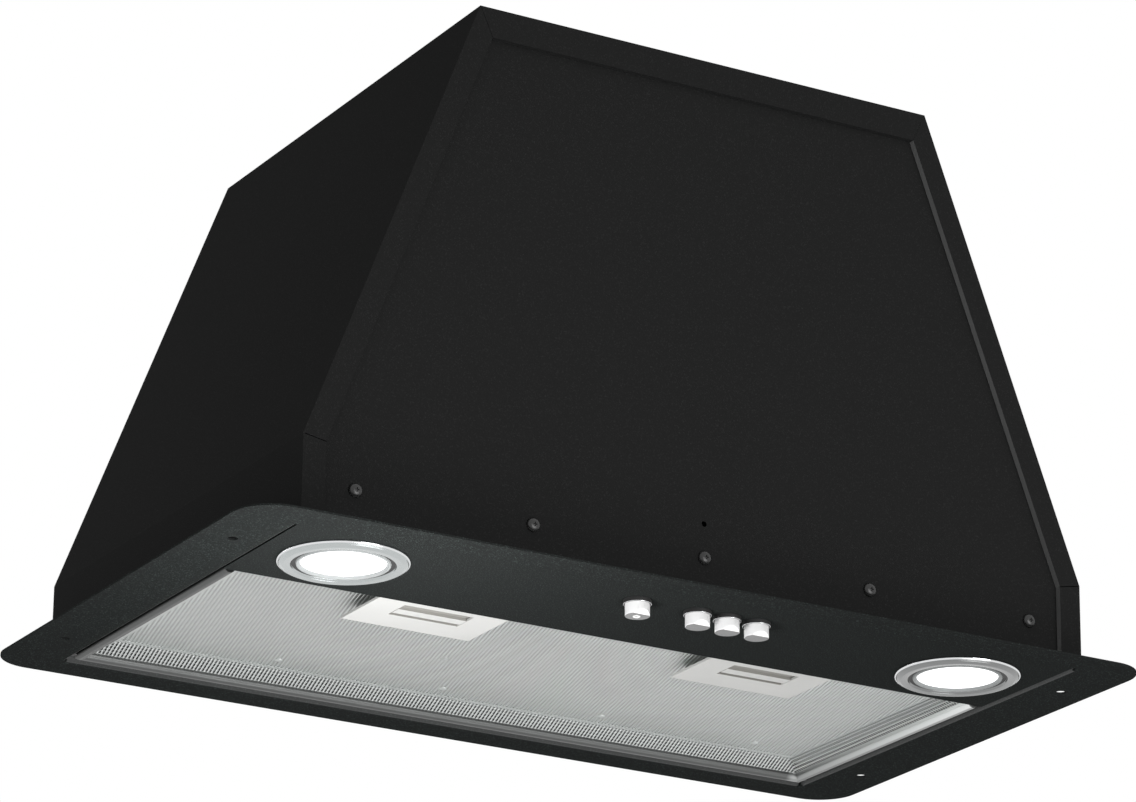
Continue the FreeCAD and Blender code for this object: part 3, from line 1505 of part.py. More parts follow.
def impeller(doc, s):
    """Centre disc and boss of the double inlet wheel."""
    body = new_body(doc, "impeller")
    disc = s.impeller_disc / 2
    radius = s.impeller_width / 2 - s.blade_inset
    pad(body, "YZ", -disc, disc, lambda k: add_circle(k, 0, 0, radius))
    boss = (-disc - s.boss_rear, disc + s.boss_front)
    pad(body, "YZ", *boss, lambda k: add_circle(k, 0, 0, s.impeller_boss / 2))
    pocket(body, "YZ", *boss, lambda k: add_circle(k, 0, 0, s.shaft_width / 2 + s.fit_gap))
    place(body, 0, impeller_y(s), s.impeller_height)
    return body


def motor_ends(s):
    """Rear and front face of the motor along its axis."""
    front = -s.impeller_disc / 2 - s.motor_gap
    return front - s.motor_length, front


def motor_shaft(doc, s):
    """Shaft from the rear bearing to the impeller's boss."""
    rear, _ = motor_ends(s)
    start = rear - s.shaft_rear
    shaft = doc.addObject("Part::Cylinder", "MotorShaft")
    shaft.Label = "motor_shaft"
    bind(shaft, "Radius", s.shaft_width / 2)
    bind(shaft, "Height", s.shaft_front - start)
    place(shaft, start, impeller_y(s), s.impeller_height, FACING["right"])
    return shaft


def motor_housing(doc, s):
    """Motor with rounded end bells and a bearing seat in each."""
    body = new_body(doc, "motor_housing")
    rear, front = motor_ends(s)
    bore = s.shaft_width / 2 + s.fit_gap
    seat = s.bearing_width / 2 + s.fit_gap
    boss = seat + s.motor_boss
    radius = s.motor_width / 2
    deep = s.bearing_length
    half_profile = ((deep, bore), (deep, seat), (0, seat), (0, boss), (s.motor_boss_length, boss),
                    (s.motor_face, radius - s.motor_bevel), (s.motor_bell, radius))
    profile = [(rear + x, y) for x, y in half_profile]
    profile += [(front - x, y) for x, y in half_profile[::-1]]
    revolve(body, "XZ", "X", lambda k: add_polygon(k, profile))
    place(body, 0, impeller_y(s), s.impeller_height)
    return body


def motor_bearings(doc, s):
    """Bearing rings in both end bells."""
    rear, front = motor_ends(s)
    bearings = []
    for start in (rear, front - s.bearing_length):
        bearing = new_body(doc, "motor_bearing_%d" % (len(bearings) + 1))
        pad(bearing, "YZ", start, start + s.bearing_length,
            lambda k: add_ring(k, 0, 0, s.bearing_width / 2, s.shaft_width / 2 + s.fit_gap))
        place(bearing, 0, impeller_y(s), s.impeller_height)
        bearings.append(bearing)
    return group(doc, "motor_bearings", bearings)


def motor_bracket(doc, s):
    """Clamp ring round the motor with three arms to the housing's left wall."""
    body = new_body(doc, "motor_bracket")
    face = -s.volute_length / 2 - s.volute_sheet
    inner = s.motor_width / 2 + s.fit_gap
    ring = inner + s.bracket_clamp
    half = s.bracket_arm / 2
    start = inner + s.bracket_clamp / 2
    hole = s.screw_shank / 2 + s.screw_gap

    arm = pad(body, "YZ", face - s.bracket_sheet, face,
              lambda k: add_rectangle(k, -half, start, half, s.bracket_reach + half))
    bore = pocket(body, "YZ", face - s.bracket_sheet, face,
                  lambda k: add_circle(k, 0, s.bracket_reach, hole))
    pattern = body.newObject("PartDesign::PolarPattern", "Arms")
    pattern.Originals = [arm, bore]
    pattern.Axis = (origin_feature(body, "X_Axis"), [""])
    pattern.Angle = 360
    pattern.Occurrences = 3
    body.Tip = pattern
    pad(body, "YZ", face - 3 * s.bracket_arm / 2, face, lambda k: add_ring(k, 0, 0, ring, inner))
    place(body, 0, impeller_y(s), s.impeller_height)
    return body


def bracket_screws(doc, s):
    """Screws of the motor bracket."""
    face = -s.volute_length / 2 - s.volute_sheet - s.bracket_sheet
    places = [(face, impeller_y(s) + y, s.impeller_height + z) for y, z in bracket_screw_points(s)]
    return screw_group(doc, s, "bracket_screws", "left", places)


# ---------------------------------------------------------------- electrical parts

def capacitor_place(s):
    """Where the capacitor stands on the housing's left wall."""
    return -s.volute_length / 2 - s.volute_sheet, s.capacitor_back, s.body_height - s.capacitor_below


def capacitor(doc, s):
    """Run capacitor, a can with two terminals."""
    body = new_body(doc, "capacitor")
    radius = s.capacitor_width / 2
    length = s.capacitor_length
    half = s.blade_terminal_width / 2
    thin = s.blade_terminal_sheet / 2

    def blades(sketch):
        for y in (-s.capacitor_blades / 2, s.capacitor_blades / 2):
            add_rectangle(sketch, y - thin, -half, y + thin, half)

    pad(body, "YZ", -length, 0, lambda k: add_circle(k, 0, 0, radius))
    pad(body, "YZ", -length - s.blade_terminal_length, -length, blades)
    place(body, *capacitor_place(s))
    return body


def capacitor_clip(doc, s):
    """Cup round the foot of the capacitor, with two ears on the wall."""
    body = new_body(doc, "capacitor_clip")
    inner = s.capacitor_width / 2 + s.fit_gap
    outer = inner + s.volute_sheet
    half = s.clamp_ear_width / 2
    start = inner + s.volute_sheet / 2
    pad(body, "YZ", -s.clamp_length, 0, lambda k: add_ring(k, 0, 0, outer, inner))
    for low, high in ((start, outer + s.clamp_ear), (-outer - s.clamp_ear, -start)):
        pad(body, "YZ", -s.volute_sheet, 0, lambda k: add_rectangle(k, low, -half, high, half))
    place(body, *capacitor_place(s))
    return body


def box_bounds(s):
    """Terminal box on the back panel: left, right, front, back, low, high."""
    back = s.body_back - 2 * s.body_sheet
    return (s.box_left, s.box_left + s.box_width, back - s.box_depth, back,
            s.box_low, s.box_low + s.box_height)


def terminal_box(doc, s):
    """Open tray with two screw posts."""
    body = new_body(doc, "terminal_box")
    left, right, front, back, low, high = box_bounds(s)
    wall = s.box_wall
    post = s.box_post
    pad_box(body, (left, right), (front, back), (low, high))
    cut_box(body, (left + wall, right - wall), (front, back - wall), (low + wall, high - wall))
    for x in (left, right - post):
        pad_box(body, (x, x + post), (front, back), (low, low + post))
        pocket(body, "XZ", front, front + s.screw_length,
               lambda k: add_circle(k, x + post / 2, low + post / 2, s.screw_shank / 2 + s.screw_gap))
    entry = (left + right) / 2
    pocket(body, "XY", high - wall, high,
           lambda k: add_circle(k, entry, back - s.box_depth / 2, s.box_entry / 2))
    return body


def terminal_box_cover(doc, s):
    """Flat cover with two screw holes."""
    body = new_body(doc, "terminal_box_cover")
    left, right, front, _, low, high = box_bounds(s)
    post = s.box_post
    pad_box(body, (left, right), (front - s.box_wall, front), (low, high))
    for x in (left, right - post):
        pocket(body, "XZ", front - s.box_wall, front,
               lambda k: add_circle(k, x + post / 2, low + post / 2, s.screw_shank / 2 + s.screw_gap))
    return body


def terminal_cover_screws(doc, s):
    """Screws of the terminal box's cover."""
    left, right, front, _, low, _ = box_bounds(s)
    post = s.box_post
    places = [(x + post / 2, front - s.box_wall, low + post / 2) for x in (left, right - post)]
    return screw_group(doc, s, "terminal_cover_screws", "front", places)


def terminal_block(doc, s):
    """Row of five terminals on the floor of the terminal box."""
    body = new_body(doc, "terminal_block")
    left, right, _, back, low, high = box_bounds(s)
    middle = (left + right) / 2
    centre = (low + high) / 2
    floor = back - s.box_wall
    foot = floor - s.terminal_foot_depth
    ridge = foot - s.terminal_ridge_depth
    half = s.terminal_count * s.terminal_pitch / 2
    foot_half = s.terminal_foot / 2
    ridge_half = s.terminal_ridge / 2

    def wire_holes(sketch):
        for number in range(int(s.terminal_count.value)):
            x = middle - half + s.terminal_pitch * (number + 0.5)
            add_circle(sketch, x, centre, s.terminal_hole / 2)

    pad_box(body, (middle - half, middle + half), (foot, floor), (centre - foot_half, centre + foot_half))
    pad_box(body, (middle - half, middle + half), (ridge, foot), (centre - ridge_half, centre + ridge_half))
    pocket(body, "XZ", ridge, foot, wire_holes)
    return body


def cable_gland(doc, s):
    """Gland in the body's top: domed head outside and a thread through the sheet."""
    body = new_body(doc, "cable_gland")
    bore = s.cable_width / 2
    thread = s.gland_thread / 2
    head = s.gland_head / 2
    high = s.gland_height
    low = -s.body_sheet - s.gland_nut_height - s.gland_tail
    profile = ((bore, low), (thread, low), (thread, 0), (head, 0), (head, high * 0.45),
               (head * 0.85, high * 0.5), (head * 0.75, high * 0.85), (head * 0.55, high), (bore, high))
    revolve(body, "XZ", "Z", lambda k: add_polygon(k, profile))
    place(body, s.gland_right, s.gland_back, s.body_height)
    return body


def gland_nut(doc, s):
    """Six-sided nut under the body's top."""
    body = new_body(doc, "gland_nut")
    top = -s.body_sheet
    reach = s.gland_head / 2

    def outline(sketch):
        corners = [(reach * math.cos(math.radians(60 * number)), reach * math.sin(math.radians(60 * number)))
                   for number in range(6)]
        add_polygon(sketch, corners)
        add_circle(sketch, 0, 0, s.gland_thread / 2 + s.fit_gap)

    pad(body, "XY", top - s.gland_nut_height, top, outline)
    place(body, s.gland_right, s.gland_back, s.body_height)
    return body


# ---------------------------------------------------------------- assembly

def build(doc, s):
    """Every sub-part, as objects whose labels name the nodes."""
    front_face = panel_face(s)
    screw_front = [(x, front_face, s.front_screw_height) for x in front_screw_xs(s)]
    parts = [
        base_frame(doc, s),
        body_wrapper(doc, s),
        front_panel(doc, s),
        back_panel(doc, s),
        screw_group(doc, s, "front_panel_screws", "front", screw_front),
        screw_group(doc, s, "back_panel_screws", "back", back_screw_places(s)),
        control_fascia(doc, s),
        lamp_clips(doc, s),
        button_collars(doc, s),
        switch_bank(doc, s),
        switch_bracket(doc, s),
        filter_frame(doc, s),
        filter_screen(doc, s),
        filter_core(doc, s),
        filter_backing(doc, s),
        filter_rivets(doc, s),
        filter_pivot_pins(doc, s),
        outlet_collar(doc, s),
        screw_group(doc, s, "collar_screws", "up", collar_screw_places(s)),
        damper_pin(doc, s),
        damper_flap(doc, s, "damper_flap_front", -1),
        damper_flap(doc, s, "damper_flap_rear", 1),
        screw_group(doc, s, "blower_screws", "up", blower_screw_places(s)),
        impeller(doc, s),
        motor_shaft(doc, s),
        motor_housing(doc, s),
        motor_bearings(doc, s),
        motor_bracket(doc, s),
        bracket_screws(doc, s),
        capacitor(doc, s),
        capacitor_clip(doc, s),
        terminal_box(doc, s),
        terminal_box_cover(doc, s),
        terminal_cover_screws(doc, s),
        terminal_block(doc, s),
        cable_gland(doc, s),
        gland_nut(doc, s),
    ]
    for name, side in (("left", -1), ("right", 1)):
        parts.append(lamp_bezel(doc, s, "lamp_bezel_" + name, side))
        parts.append(lamp_lens(doc, s, "lamp_lens_" + name, side))
        parts.append(lamp_housing(doc, s, "lamp_housing_" + name, side))
        parts.append(filter_handle(doc, s, "filter_handle_" + name, side))
        parts.append(latch(doc, s, "latch_" + name, side))
        parts.append(blower_housing(doc, s, "blower_housing_" + name, side))
        parts.append(inlet_ring(doc, s, "inlet_ring_" + name, side))
        parts.append(blade_ring(doc, s, "blade_ring_" + name, side))
    labels = ("button_light", "button_speed_1", "button_speed_2", "button_speed_3")
    for label, x in zip(labels, button_xs(s)):
        parts.append(push_button(doc, s, label, x, label == "button_light"))
    return parts


def check_document(doc, parts):
    """Stops if an object failed, a cut missed its solid or a sub-part has no valid shape."""
    for item in doc.Objects:
        if "Invalid" in item.State or "Error" in item.State:
            raise RuntimeError("%s failed: %s" % (item.Label, item.State))
        if item.TypeId == "PartDesign::Pocket":
            before = item.BaseFeature.Shape.Volume
            if item.Shape.Volume > before - 1e-6:
                raise RuntimeError("%s of %s cuts nothing" % (item.Label, item.getParentGeoFeatureGroup().Label))
    for part in parts:
        if part.Shape.isNull() or not part.Shape.isValid() or not part.Shape.Solids:
            raise RuntimeError("%s has no valid shape" % part.Label)


def export(parts):
    """Writes one STEP file for each sub-part."""
    os.makedirs("parts", exist_ok=True)
    for part in parts:
        part.Shape.exportStep("parts/%s.step" % part.Label)


def main():
    doc = FreeCAD.newDocument("RangeHood")
    sizes = make_sheet(doc)
    parts = build(doc, sizes)
    doc.recompute()
    check_document(doc, parts)
    export(parts)
    print("%d sub-parts written" % len(parts))


main()
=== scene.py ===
"""Finishes, fittings and filter mesh of an insert range hood, laid out as an add-on.

Metres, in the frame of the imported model: +X right, +Y to the wall, +Z up, and the origin in the
middle of the fixing holes on the flange's upper face.
"""
import json
import math

import bmesh
import bpy
from bpy.props import FloatProperty, FloatVectorProperty, IntProperty, PointerProperty
from mathutils import Matrix, Vector


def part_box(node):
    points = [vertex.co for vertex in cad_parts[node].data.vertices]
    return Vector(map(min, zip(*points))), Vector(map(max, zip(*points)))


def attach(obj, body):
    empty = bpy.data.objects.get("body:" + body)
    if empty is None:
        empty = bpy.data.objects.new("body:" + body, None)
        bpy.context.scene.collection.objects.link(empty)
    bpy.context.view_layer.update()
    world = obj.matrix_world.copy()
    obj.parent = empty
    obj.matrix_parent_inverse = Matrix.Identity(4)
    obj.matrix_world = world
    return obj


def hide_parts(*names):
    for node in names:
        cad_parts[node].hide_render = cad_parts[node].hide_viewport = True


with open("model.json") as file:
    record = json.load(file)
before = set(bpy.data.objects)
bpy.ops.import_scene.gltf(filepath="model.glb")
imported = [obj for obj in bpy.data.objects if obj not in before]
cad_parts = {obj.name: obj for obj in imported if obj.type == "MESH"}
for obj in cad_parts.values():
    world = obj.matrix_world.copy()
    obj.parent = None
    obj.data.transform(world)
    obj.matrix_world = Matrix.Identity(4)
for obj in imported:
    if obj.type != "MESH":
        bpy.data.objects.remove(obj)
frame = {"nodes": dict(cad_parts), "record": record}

bl_info = {
    "name": "Range Hood",
    "version": (1, 0, 0),
    "blender": (4, 5, 0),
    "location": "3D View > Sidebar > Hood",
    "description": "Finishes, fittings and filter mesh of an insert range hood",
    "category": "Object",
}

MM = 0.001
SHORT = 0.05 * MM  # shortest piece of a strip
WELD = 1e-7  # corners closer than this are one, in metres
NODE_WELD = 1e-6  # the same for the loose triangles of a CAD node
GRAIN_X = (60, 2600, 2600)  # stretch of a noise that gives a grain along X
GRAIN_Y = (2600, 60, 2600)
GRAIN_FINE = (120, 3000, 3000)


# ---------------------------------------------------------------- node graphs

def maths(operation, reflected=False):
    """A method that adds a Math node for a value and what it is combined with."""
    def method(self, *others):
        values = (*others, self) if reflected else (self, *others)
        inputs = dict(enumerate(values))
        return self.graph.value("ShaderNodeMath", {"operation": operation}, inputs)
    return method


class Value:
    """A number in a node graph; sums and products of it add Math nodes."""

    def __init__(self, graph, socket):
        self.graph = graph
        self.socket = socket

    __add__ = maths("ADD")
    __radd__ = maths("ADD", True)
    __sub__ = maths("SUBTRACT")
    __rsub__ = maths("SUBTRACT", True)
    __mul__ = maths("MULTIPLY")
    __rmul__ = maths("MULTIPLY", True)
    __truediv__ = maths("DIVIDE")
    __mod__ = maths("MODULO")
    __lt__ = maths("LESS_THAN")
    __gt__ = maths("GREATER_THAN")
    floor = maths("FLOOR")
    absolute = maths("ABSOLUTE")
    at_most = maths("MINIMUM")
    at_least = maths("MAXIMUM")


class Graph:
    """A node tree with one method that adds any node."""

    def __init__(self, tree):
        self.tree = tree

    def add(self, kind, settings=None, inputs=None):
        node = self.tree.nodes.new(kind)
        for name, setting in (settings or {}).items():
            setattr(node, name, setting)
        for key, value in (inputs or {}).items():
            self.feed(node.inputs[key], value)
        return node

    def feed(self, socket, value):
        if isinstance(value, Value):
            self.tree.links.new(value.socket, socket)
        elif isinstance(value, bpy.types.NodeSocket):
            self.tree.links.new(value, socket)
        else:
            socket.default_value = value

    def value(self, kind, settings=None, inputs=None):
        return Value(self, self.add(kind, settings, inputs).outputs[0])


# ---------------------------------------------------------------- materials

class Finish(Graph):
    """A material with one Principled shader and patterns on Object coordinates."""

    def __init__(self, name):
        self.material = bpy.data.materials.new(name)
        self.material.use_nodes = True
        super().__init__(self.material.node_tree)
        self.tree.nodes.clear()
        self.shader = self.add("ShaderNodeBsdfPrincipled")
        self.add("ShaderNodeOutputMaterial", inputs={"Surface": self.shader.outputs[0]})
        self.place = self.add("ShaderNodeTexCoord").outputs["Object"]

    def set(self, **sockets):
        for name, value in sockets.items():
            self.feed(self.shader.inputs[name.replace("_", " ")], value)

    def noise(self, scale, detail=2.0, stretch=None):
        where = self.place
        if stretch:
            where = self.add("ShaderNodeMapping", inputs={
                "Vector": self.place, "Scale": stretch}).outputs[0]
        return self.value("ShaderNodeTexNoise", inputs={
            "Vector": where, "Scale": scale, "Detail": detail})

    def ramp(self, factor, low, high, low_to=0.0, high_to=1.0):
        inputs = {"Value": factor, 1: low, 2: high, 3: low_to, 4: high_to}
        return self.value("ShaderNodeMapRange", {"clamp": True}, inputs)

    def spread(self, noise, low, high):
        """Spreads the usual values of a noise between two numbers."""
        return self.ramp(noise, 0.3, 0.7, low, high)

    def blend(self, factor, first, second):
        node = self.add("ShaderNodeMix", {"data_type": "RGBA"}, {0: factor})
        self.feed(node.inputs[6], first)
        self.feed(node.inputs[7], second)
        return node.outputs[2]

    def bump(self, height, distance, strength=1.0):
        inputs = {"Height": height, "Distance": distance, "Strength": strength}
        self.set(Normal=self.add("ShaderNodeBump", inputs=inputs).outputs[0])


def shade(color, factor):
    """A colour made darker or lighter."""
    return tuple(min(1.0, part * factor) for part in color[:3]) + (1.0,)


def powder_coat(name, color, fleck_and_sparkle, gloss=0.0):
    """Fine-textured powder coat with small lighter flecks, which are grain and, where bright,
    painted sparkle.
    """
    coat = Finish(name)
    grain = coat.noise(1500.0, 3.0)
    spots = coat.ramp(grain, 0.56, 0.74)
    coat.set(Base_Color=coat.blend(spots, shade(color, 0.92), fleck_and_sparkle),
             Roughness=coat.spread(grain, 0.6, 0.45), Specular_IOR_Level=gloss)
    coat.bump(grain, 0.0002, 0.5)
    return coat.material


def plating(name, color, low, high):
    """Plated metal with faint wipe marks, from mirror to satin."""
    plate = Finish(name)
    smear = plate.noise(260.0, 3.0, (1.0, 1.0, 0.2))
    plate.set(Base_Color=plate.blend(smear, shade(color, 0.97), shade(color, 1.02)),
              Roughness=plate.ramp(smear, 0.3, 0.75, low, high), Metallic=1.0)
    return plate.material


def brushed_metal(name, color, grain, low, high):
    """Rolled or brushed metal with its grain along one axis."""
    metal = Finish(name)
    lines = metal.noise(1.0, 3.0, grain)
    cloud = metal.noise(25.0)
    mottle = lines * 0.6 + cloud * 0.4
    metal.set(Base_Color=metal.blend(mottle, shade(color, 0.86), shade(color, 1.1)),
              Roughness=metal.spread(lines, low, high), Metallic=1.0)
    metal.bump(lines, 0.00003, 0.4)
    return metal.material


def bead_with_painted_reflections(name, color):
    """Rolled bead, painted lighter along its right side and to the front as highlight, darker as
    shade.
    """
    bead = Finish(name)
    place = bead.add("ShaderNodeSeparateXYZ", inputs={0: bead.place}).outputs
    inner = bead.ramp(place["X"], 212.5 * MM, 216.5 * MM)
    outer = bead.ramp(place["X"], 220.2 * MM, 221.2 * MM, 1.0, 0.3)
    front = bead.ramp(place["Y"], 125 * MM, -45 * MM, 0.3, 1.0)
    lines = bead.noise(1.0, 3.0, GRAIN_X)
    # Painted highlight on the inner edge of the right side, fading to the rear; painted dark
    # reflection on the left, rear and outer faces
    bead.set(Base_Color=bead.blend(inner * outer * front, shade(color, 0.14), shade(color, 1.0)),
             Roughness=bead.spread(lines, 0.34, 0.44), Metallic=1.0)
    return bead.material


def zinc_coat(name, color):
    """Zinc-plated sheet with flat spangles."""
    zinc = Finish(name)
    cells = zinc.add("ShaderNodeTexVoronoi", inputs={"Vector": zinc.place, "Scale": 110.0})
    spangle = zinc.value("ShaderNodeSeparateColor", inputs={0: cells.outputs["Color"]})
    zinc.set(Base_Color=zinc.blend(spangle, shade(color, 0.75), shade(color, 1.12)),
             Roughness=zinc.ramp(spangle, 0.0, 1.0, 0.32, 0.5), Metallic=1.0)
    return zinc.material


def moulding(name, color, low, high, grain=900.0):
    """Moulded plastic with a fine spark-eroded grain."""
    plastic = Finish(name)
    texture = plastic.noise(grain)
    cloud = plastic.noise(30.0)
    plastic.set(Base_Color=plastic.blend(cloud, shade(color, 0.93), shade(color, 1.05)),
                Roughness=plastic.spread(texture, low, high))
    plastic.bump(texture, 0.00004, 0.4)
    return plastic.material


def diffuser(name, color):
    """Lit lamp disc with a faint prism pattern."""
    disc = Finish(name)
    prisms = disc.value("ShaderNodeTexVoronoi", inputs={"Vector": disc.place, "Scale": 700.0})
    disc.set(Base_Color=disc.blend(prisms, shade(color, 1.0), shade(color, 0.96)),
             Emission_Color=disc.blend(prisms, (1.0, 1.0, 1.0, 1.0), (0.97, 0.98, 1.0, 1.0)),
             Emission_Strength=1.1, Roughness=0.4)
    return disc.material


def mesh_pack(name, color):
    """Pack of expanded foil, darkened as painted shade: bright strands over openings painted dark.
    """
    pack = Finish(name)
    turned = pack.add("ShaderNodeMapping", inputs={"Vector": pack.place, "Rotation": (0, 0, 0.9)})
    strands = pack.value("ShaderNodeTexVoronoi", inputs={
        "Vector": turned.outputs[0], "Scale": 520.0})
    bright = pack.ramp(strands, 0.25, 0.75) * 0.75 + pack.noise(60.0, 3.0) * 0.25
    pack.set(Base_Color=pack.blend(bright, shade(color, 0.12), shade(color, 0.62)),
             Roughness=pack.ramp(bright, 0.0, 1.0, 0.6, 0.42), Metallic=0.6)
    pack.bump(strands, 0.0004, 0.6)
    return pack.material


def make_finishes(colors):
    """Every finish by the name of the record's material slot, and those that pieces add."""
    body, underside, fleck_and_sparkle = colors.body, colors.underside, shade(colors.fleck_and_sparkle, 1.0)
    return {
        "black_paint": powder_coat("black_powder_coat", body, shade(body, 1.6)),
        # The underside's brighter greenish flecks are grain and painted sparkle of light on it
        "underside": powder_coat("textured_powder_coat", underside, fleck_and_sparkle),
        "bend": powder_coat("glossy_bend", underside, fleck_and_sparkle, 0.5),
        # The body coat made eight times lighter for the side lips: a painted highlight
        "lip": powder_coat("thin_powder_coat", shade(body, 8.0), shade(body, 9.0)),
        "screw_black": moulding("blackened_steel", shade(body, 0.8), 0.22, 0.3),
        "chrome": plating("chrome_plating", colors.chrome, 0.05, 0.13),
        "trim": plating("satin_trim", colors.trim, 0.16, 0.24),
        "satin": moulding("satin_caps", colors.satin, 0.5, 0.6),
        # Darker copy of the caps for their downward ends: painted shade
        "cap_end": moulding("satin_cap_ends", colors.cap_end, 0.35, 0.45),
        # Darker copy of the trim plating for the right lamp: painted shade and reflection
        "trim_painted_shade": plating("smoked_trim", colors.trim_painted_shade, 0.12, 0.2),
        "inner_ring": moulding("satin_inner_ring", (0.26, 0.272, 0.272), 0.5, 0.6),
        # Near black for the lamp grooves and the collars' walls: painted shade and painted
        # reflection
        "shadow_gap": moulding("dark_groove", (0.02, 0.02, 0.02), 0.5, 0.6),
        # Grey for what is seen through the finger windows: painted shade
        "slide": moulding("grey_slide", colors.slide, 0.5, 0.6),
        "filter_aluminium": brushed_metal("satin_aluminium", colors.aluminium, GRAIN_X, 0.28, 0.42),
        "bead": bead_with_painted_reflections("smooth_bead", colors.bead),
        "sheet": brushed_metal("rolled_sheet", colors.sheet, GRAIN_X, 0.3, 0.42),
        "mesh_core": mesh_pack("expanded_foil", colors.core),
        "zinc_steel": zinc_coat("zinc_plated_steel", colors.zinc),
        "steel": brushed_metal("ground_steel", colors.zinc, GRAIN_FINE, 0.2, 0.32),
        "white_plastic": moulding("white_moulding", colors.handle, 0.42, 0.55),
        "lamp_diffuser": diffuser("lit_diffuser", colors.lamp),
        "grey_plastic": moulding("grey_moulding", (0.3, 0.3, 0.31), 0.45, 0.6),
        "black_plastic": moulding("black_moulding", (0.02, 0.02, 0.02), 0.4, 0.55),
        "motor_paint": moulding("motor_enamel", (0.05, 0.05, 0.055), 0.3, 0.4, 400.0),
        "capacitor_can": brushed_metal("drawn_can", (0.7, 0.7, 0.7), GRAIN_Y, 0.3, 0.45),
    }


# ---------------------------------------------------------------- meshes

def node_slot(node):
    """The record's material slot of a CAD node."""
    for entry in frame["record"]["subparts"]:
        if entry["node"] == node:
            return entry["material_slot"]
    raise KeyError(node)


def node_body(node):
    """The body that a CAD node rides on."""
    for body, nodes in frame["record"]["behaviour"]["bodies"].items():
        if node in nodes:
            return body
    raise KeyError(node)


FINISH_NAMES = {}  # filled as the finishes are made


def finish_of(slot):
    """The material made for a slot."""
    return bpy.data.materials[FINISH_NAMES[slot]]


def dress(item, finish):
    """Gives an object one material on all its slots."""
    item.data.materials.clear()
    item.data.materials.append(finish)


def paint_faces(mesh, key, chosen):
    """Adds a finish and gives it to the faces picked by their centre and normal."""
    mesh.materials.append(finish_of(key))
    for face in mesh.polygons:
        if chosen(face.center, face.normal):
            face.material_index = len(mesh.materials) - 1


def new_piece(name, mesh, node, finish=None, smooth=35.0):
    """A piece that stands for a CAD node and rides on its body."""
    item = bpy.data.objects.new(name, mesh)
    bpy.context.scene.collection.objects.link(item)
    dress(item, finish or finish_of(node_slot(node)))
    if smooth:
        mesh.polygons.foreach_set("use_smooth", [True] * len(mesh.polygons))
        mesh.set_sharp_from_angle(angle=math.radians(smooth))
    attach(item, node_body(node))
    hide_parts(node)
    node_slot(node)
    return item


def mesh_from(build):
    """A mesh with outward normals from a function that fills a bmesh."""
    work = bmesh.new()
    build(work)
    bmesh.ops.remove_doubles(work, verts=work.verts, dist=WELD)
    bmesh.ops.recalc_face_normals(work, faces=work.faces)
    mesh = bpy.data.meshes.new("piece")
    work.to_mesh(mesh)
    work.free()
    return mesh


def lathe(work, profile, segments, centre=(0, 0, 0)):
    """Turns a closed profile of (radius, height) points round Z."""
    centre = Vector(centre)
    rings = []
    for radius, height in profile:
        if radius < WELD:
            rings.append([work.verts.new(centre + Vector((0, 0, height)))])
            continue
        ring = []
        for step in range(segments):
            angle = 2 * math.pi * step / segments
            point = Vector((radius * math.cos(angle), radius * math.sin(angle), height))
            ring.append(work.verts.new(centre + point))
        rings.append(ring)
    for first, second in zip(rings, rings[1:] + rings[:1]):
        for step in range(segments):
            after = (step + 1) % segments
            corners = [first[step % len(first)], first[after % len(first)],
                       second[after % len(second)], second[step % len(second)]]
            unique = list(dict.fromkeys(corners))
            if len(unique) > 2:
                work.faces.new(unique)


def rounded(points, radius):
    """An open profile whose inner corners are rounded by arcs."""
    steps = 3
    result = [points[0]]
    for before, corner, after in zip(points, points[1:], points[2:]):
        corner = Vector(corner)
        first = Vector(before) - corner
        second = Vector(after) - corner
        reach = min(radius, 0.45 * first.length, 0.45 * second.length)
        start = corner + first.normalized() * reach
        end = corner + second.normalized() * reach
        for step in range(steps + 1):
            part = step / steps
            point = start * (1 - part) ** 2 + corner * 2 * part * (1 - part) + end * part ** 2
            result.append(tuple(point))
    result.append(points[-1])
    return result


def islands(node):
    """Lowest and highest corner of each separate solid of a CAD node."""
    work = bmesh.new()
    work.from_mesh(frame["nodes"][node].data)
    bmesh.ops.remove_doubles(work, verts=work.verts, dist=NODE_WELD)
    left = set(work.verts)
    boxes = []
    while left:
        front = [left.pop()]
        found = list(front)
        while front:
            vertex = front.pop()
            for edge in vertex.link_edges:
                other = edge.other_vert(vertex)
                if other in left:
                    left.discard(other)
                    front.append(other)
                    found.append(other)
        boxes.append([Vector([end(vertex.co[axis] for vertex in found) for axis in range(3)])
                      for end in (min, max)])
    work.free()
    return sorted(boxes, key=lambda box: tuple(round(part, 5) for part in box[0]))


def softened(node, name, width, segments=2):
    """A copy of a CAD node with its flat faces joined and its edges slightly rounded."""
    flat = math.radians(0.6)
    sharp = 25.0

    def build(work):
        work.from_mesh(frame["nodes"][node].data)
        bmesh.ops.remove_doubles(work, verts=work.verts, dist=NODE_WELD)
        bmesh.ops.dissolve_limit(work, angle_limit=flat, verts=work.verts, edges=work.edges)

    item = new_piece(name, mesh_from(build), node, smooth=sharp)
    bevel = round_edges(item, width, segments, sharp)
    bevel.harden_normals = True
    return item


def round_edges(item, width, segments, sharp):
    """Rounds the edges of a piece that are sharper than an angle in degrees."""
    bevel = item.modifiers.new("edges", "BEVEL")
    bevel.width = width
    bevel.segments = segments
    bevel.limit_method = "ANGLE"
    bevel.angle_limit = math.radians(sharp)
    return bevel


# ---------------------------------------------------------------- Geometry Nodes

def new_tree(name, inputs):
    """An empty geometry tree with named number inputs, and the values that they give."""
    tree = bpy.data.node_groups.new(name, "GeometryNodeTree")
    for way in ("INPUT", "OUTPUT"):
        tree.interface.new_socket("Geometry", in_out=way, socket_type="NodeSocketGeometry")
    for label, default in inputs.items():
        kind = "NodeSocketInt" if isinstance(default, int) else "NodeSocketFloat"
        socket = tree.interface.new_socket(label, in_out="INPUT", socket_type=kind)
        socket.default_value = default
    graph = Graph(tree)
    given = graph.add("NodeGroupInput").outputs
    return graph, {label: Value(graph, given[label]) for label in ("Geometry", *inputs)}


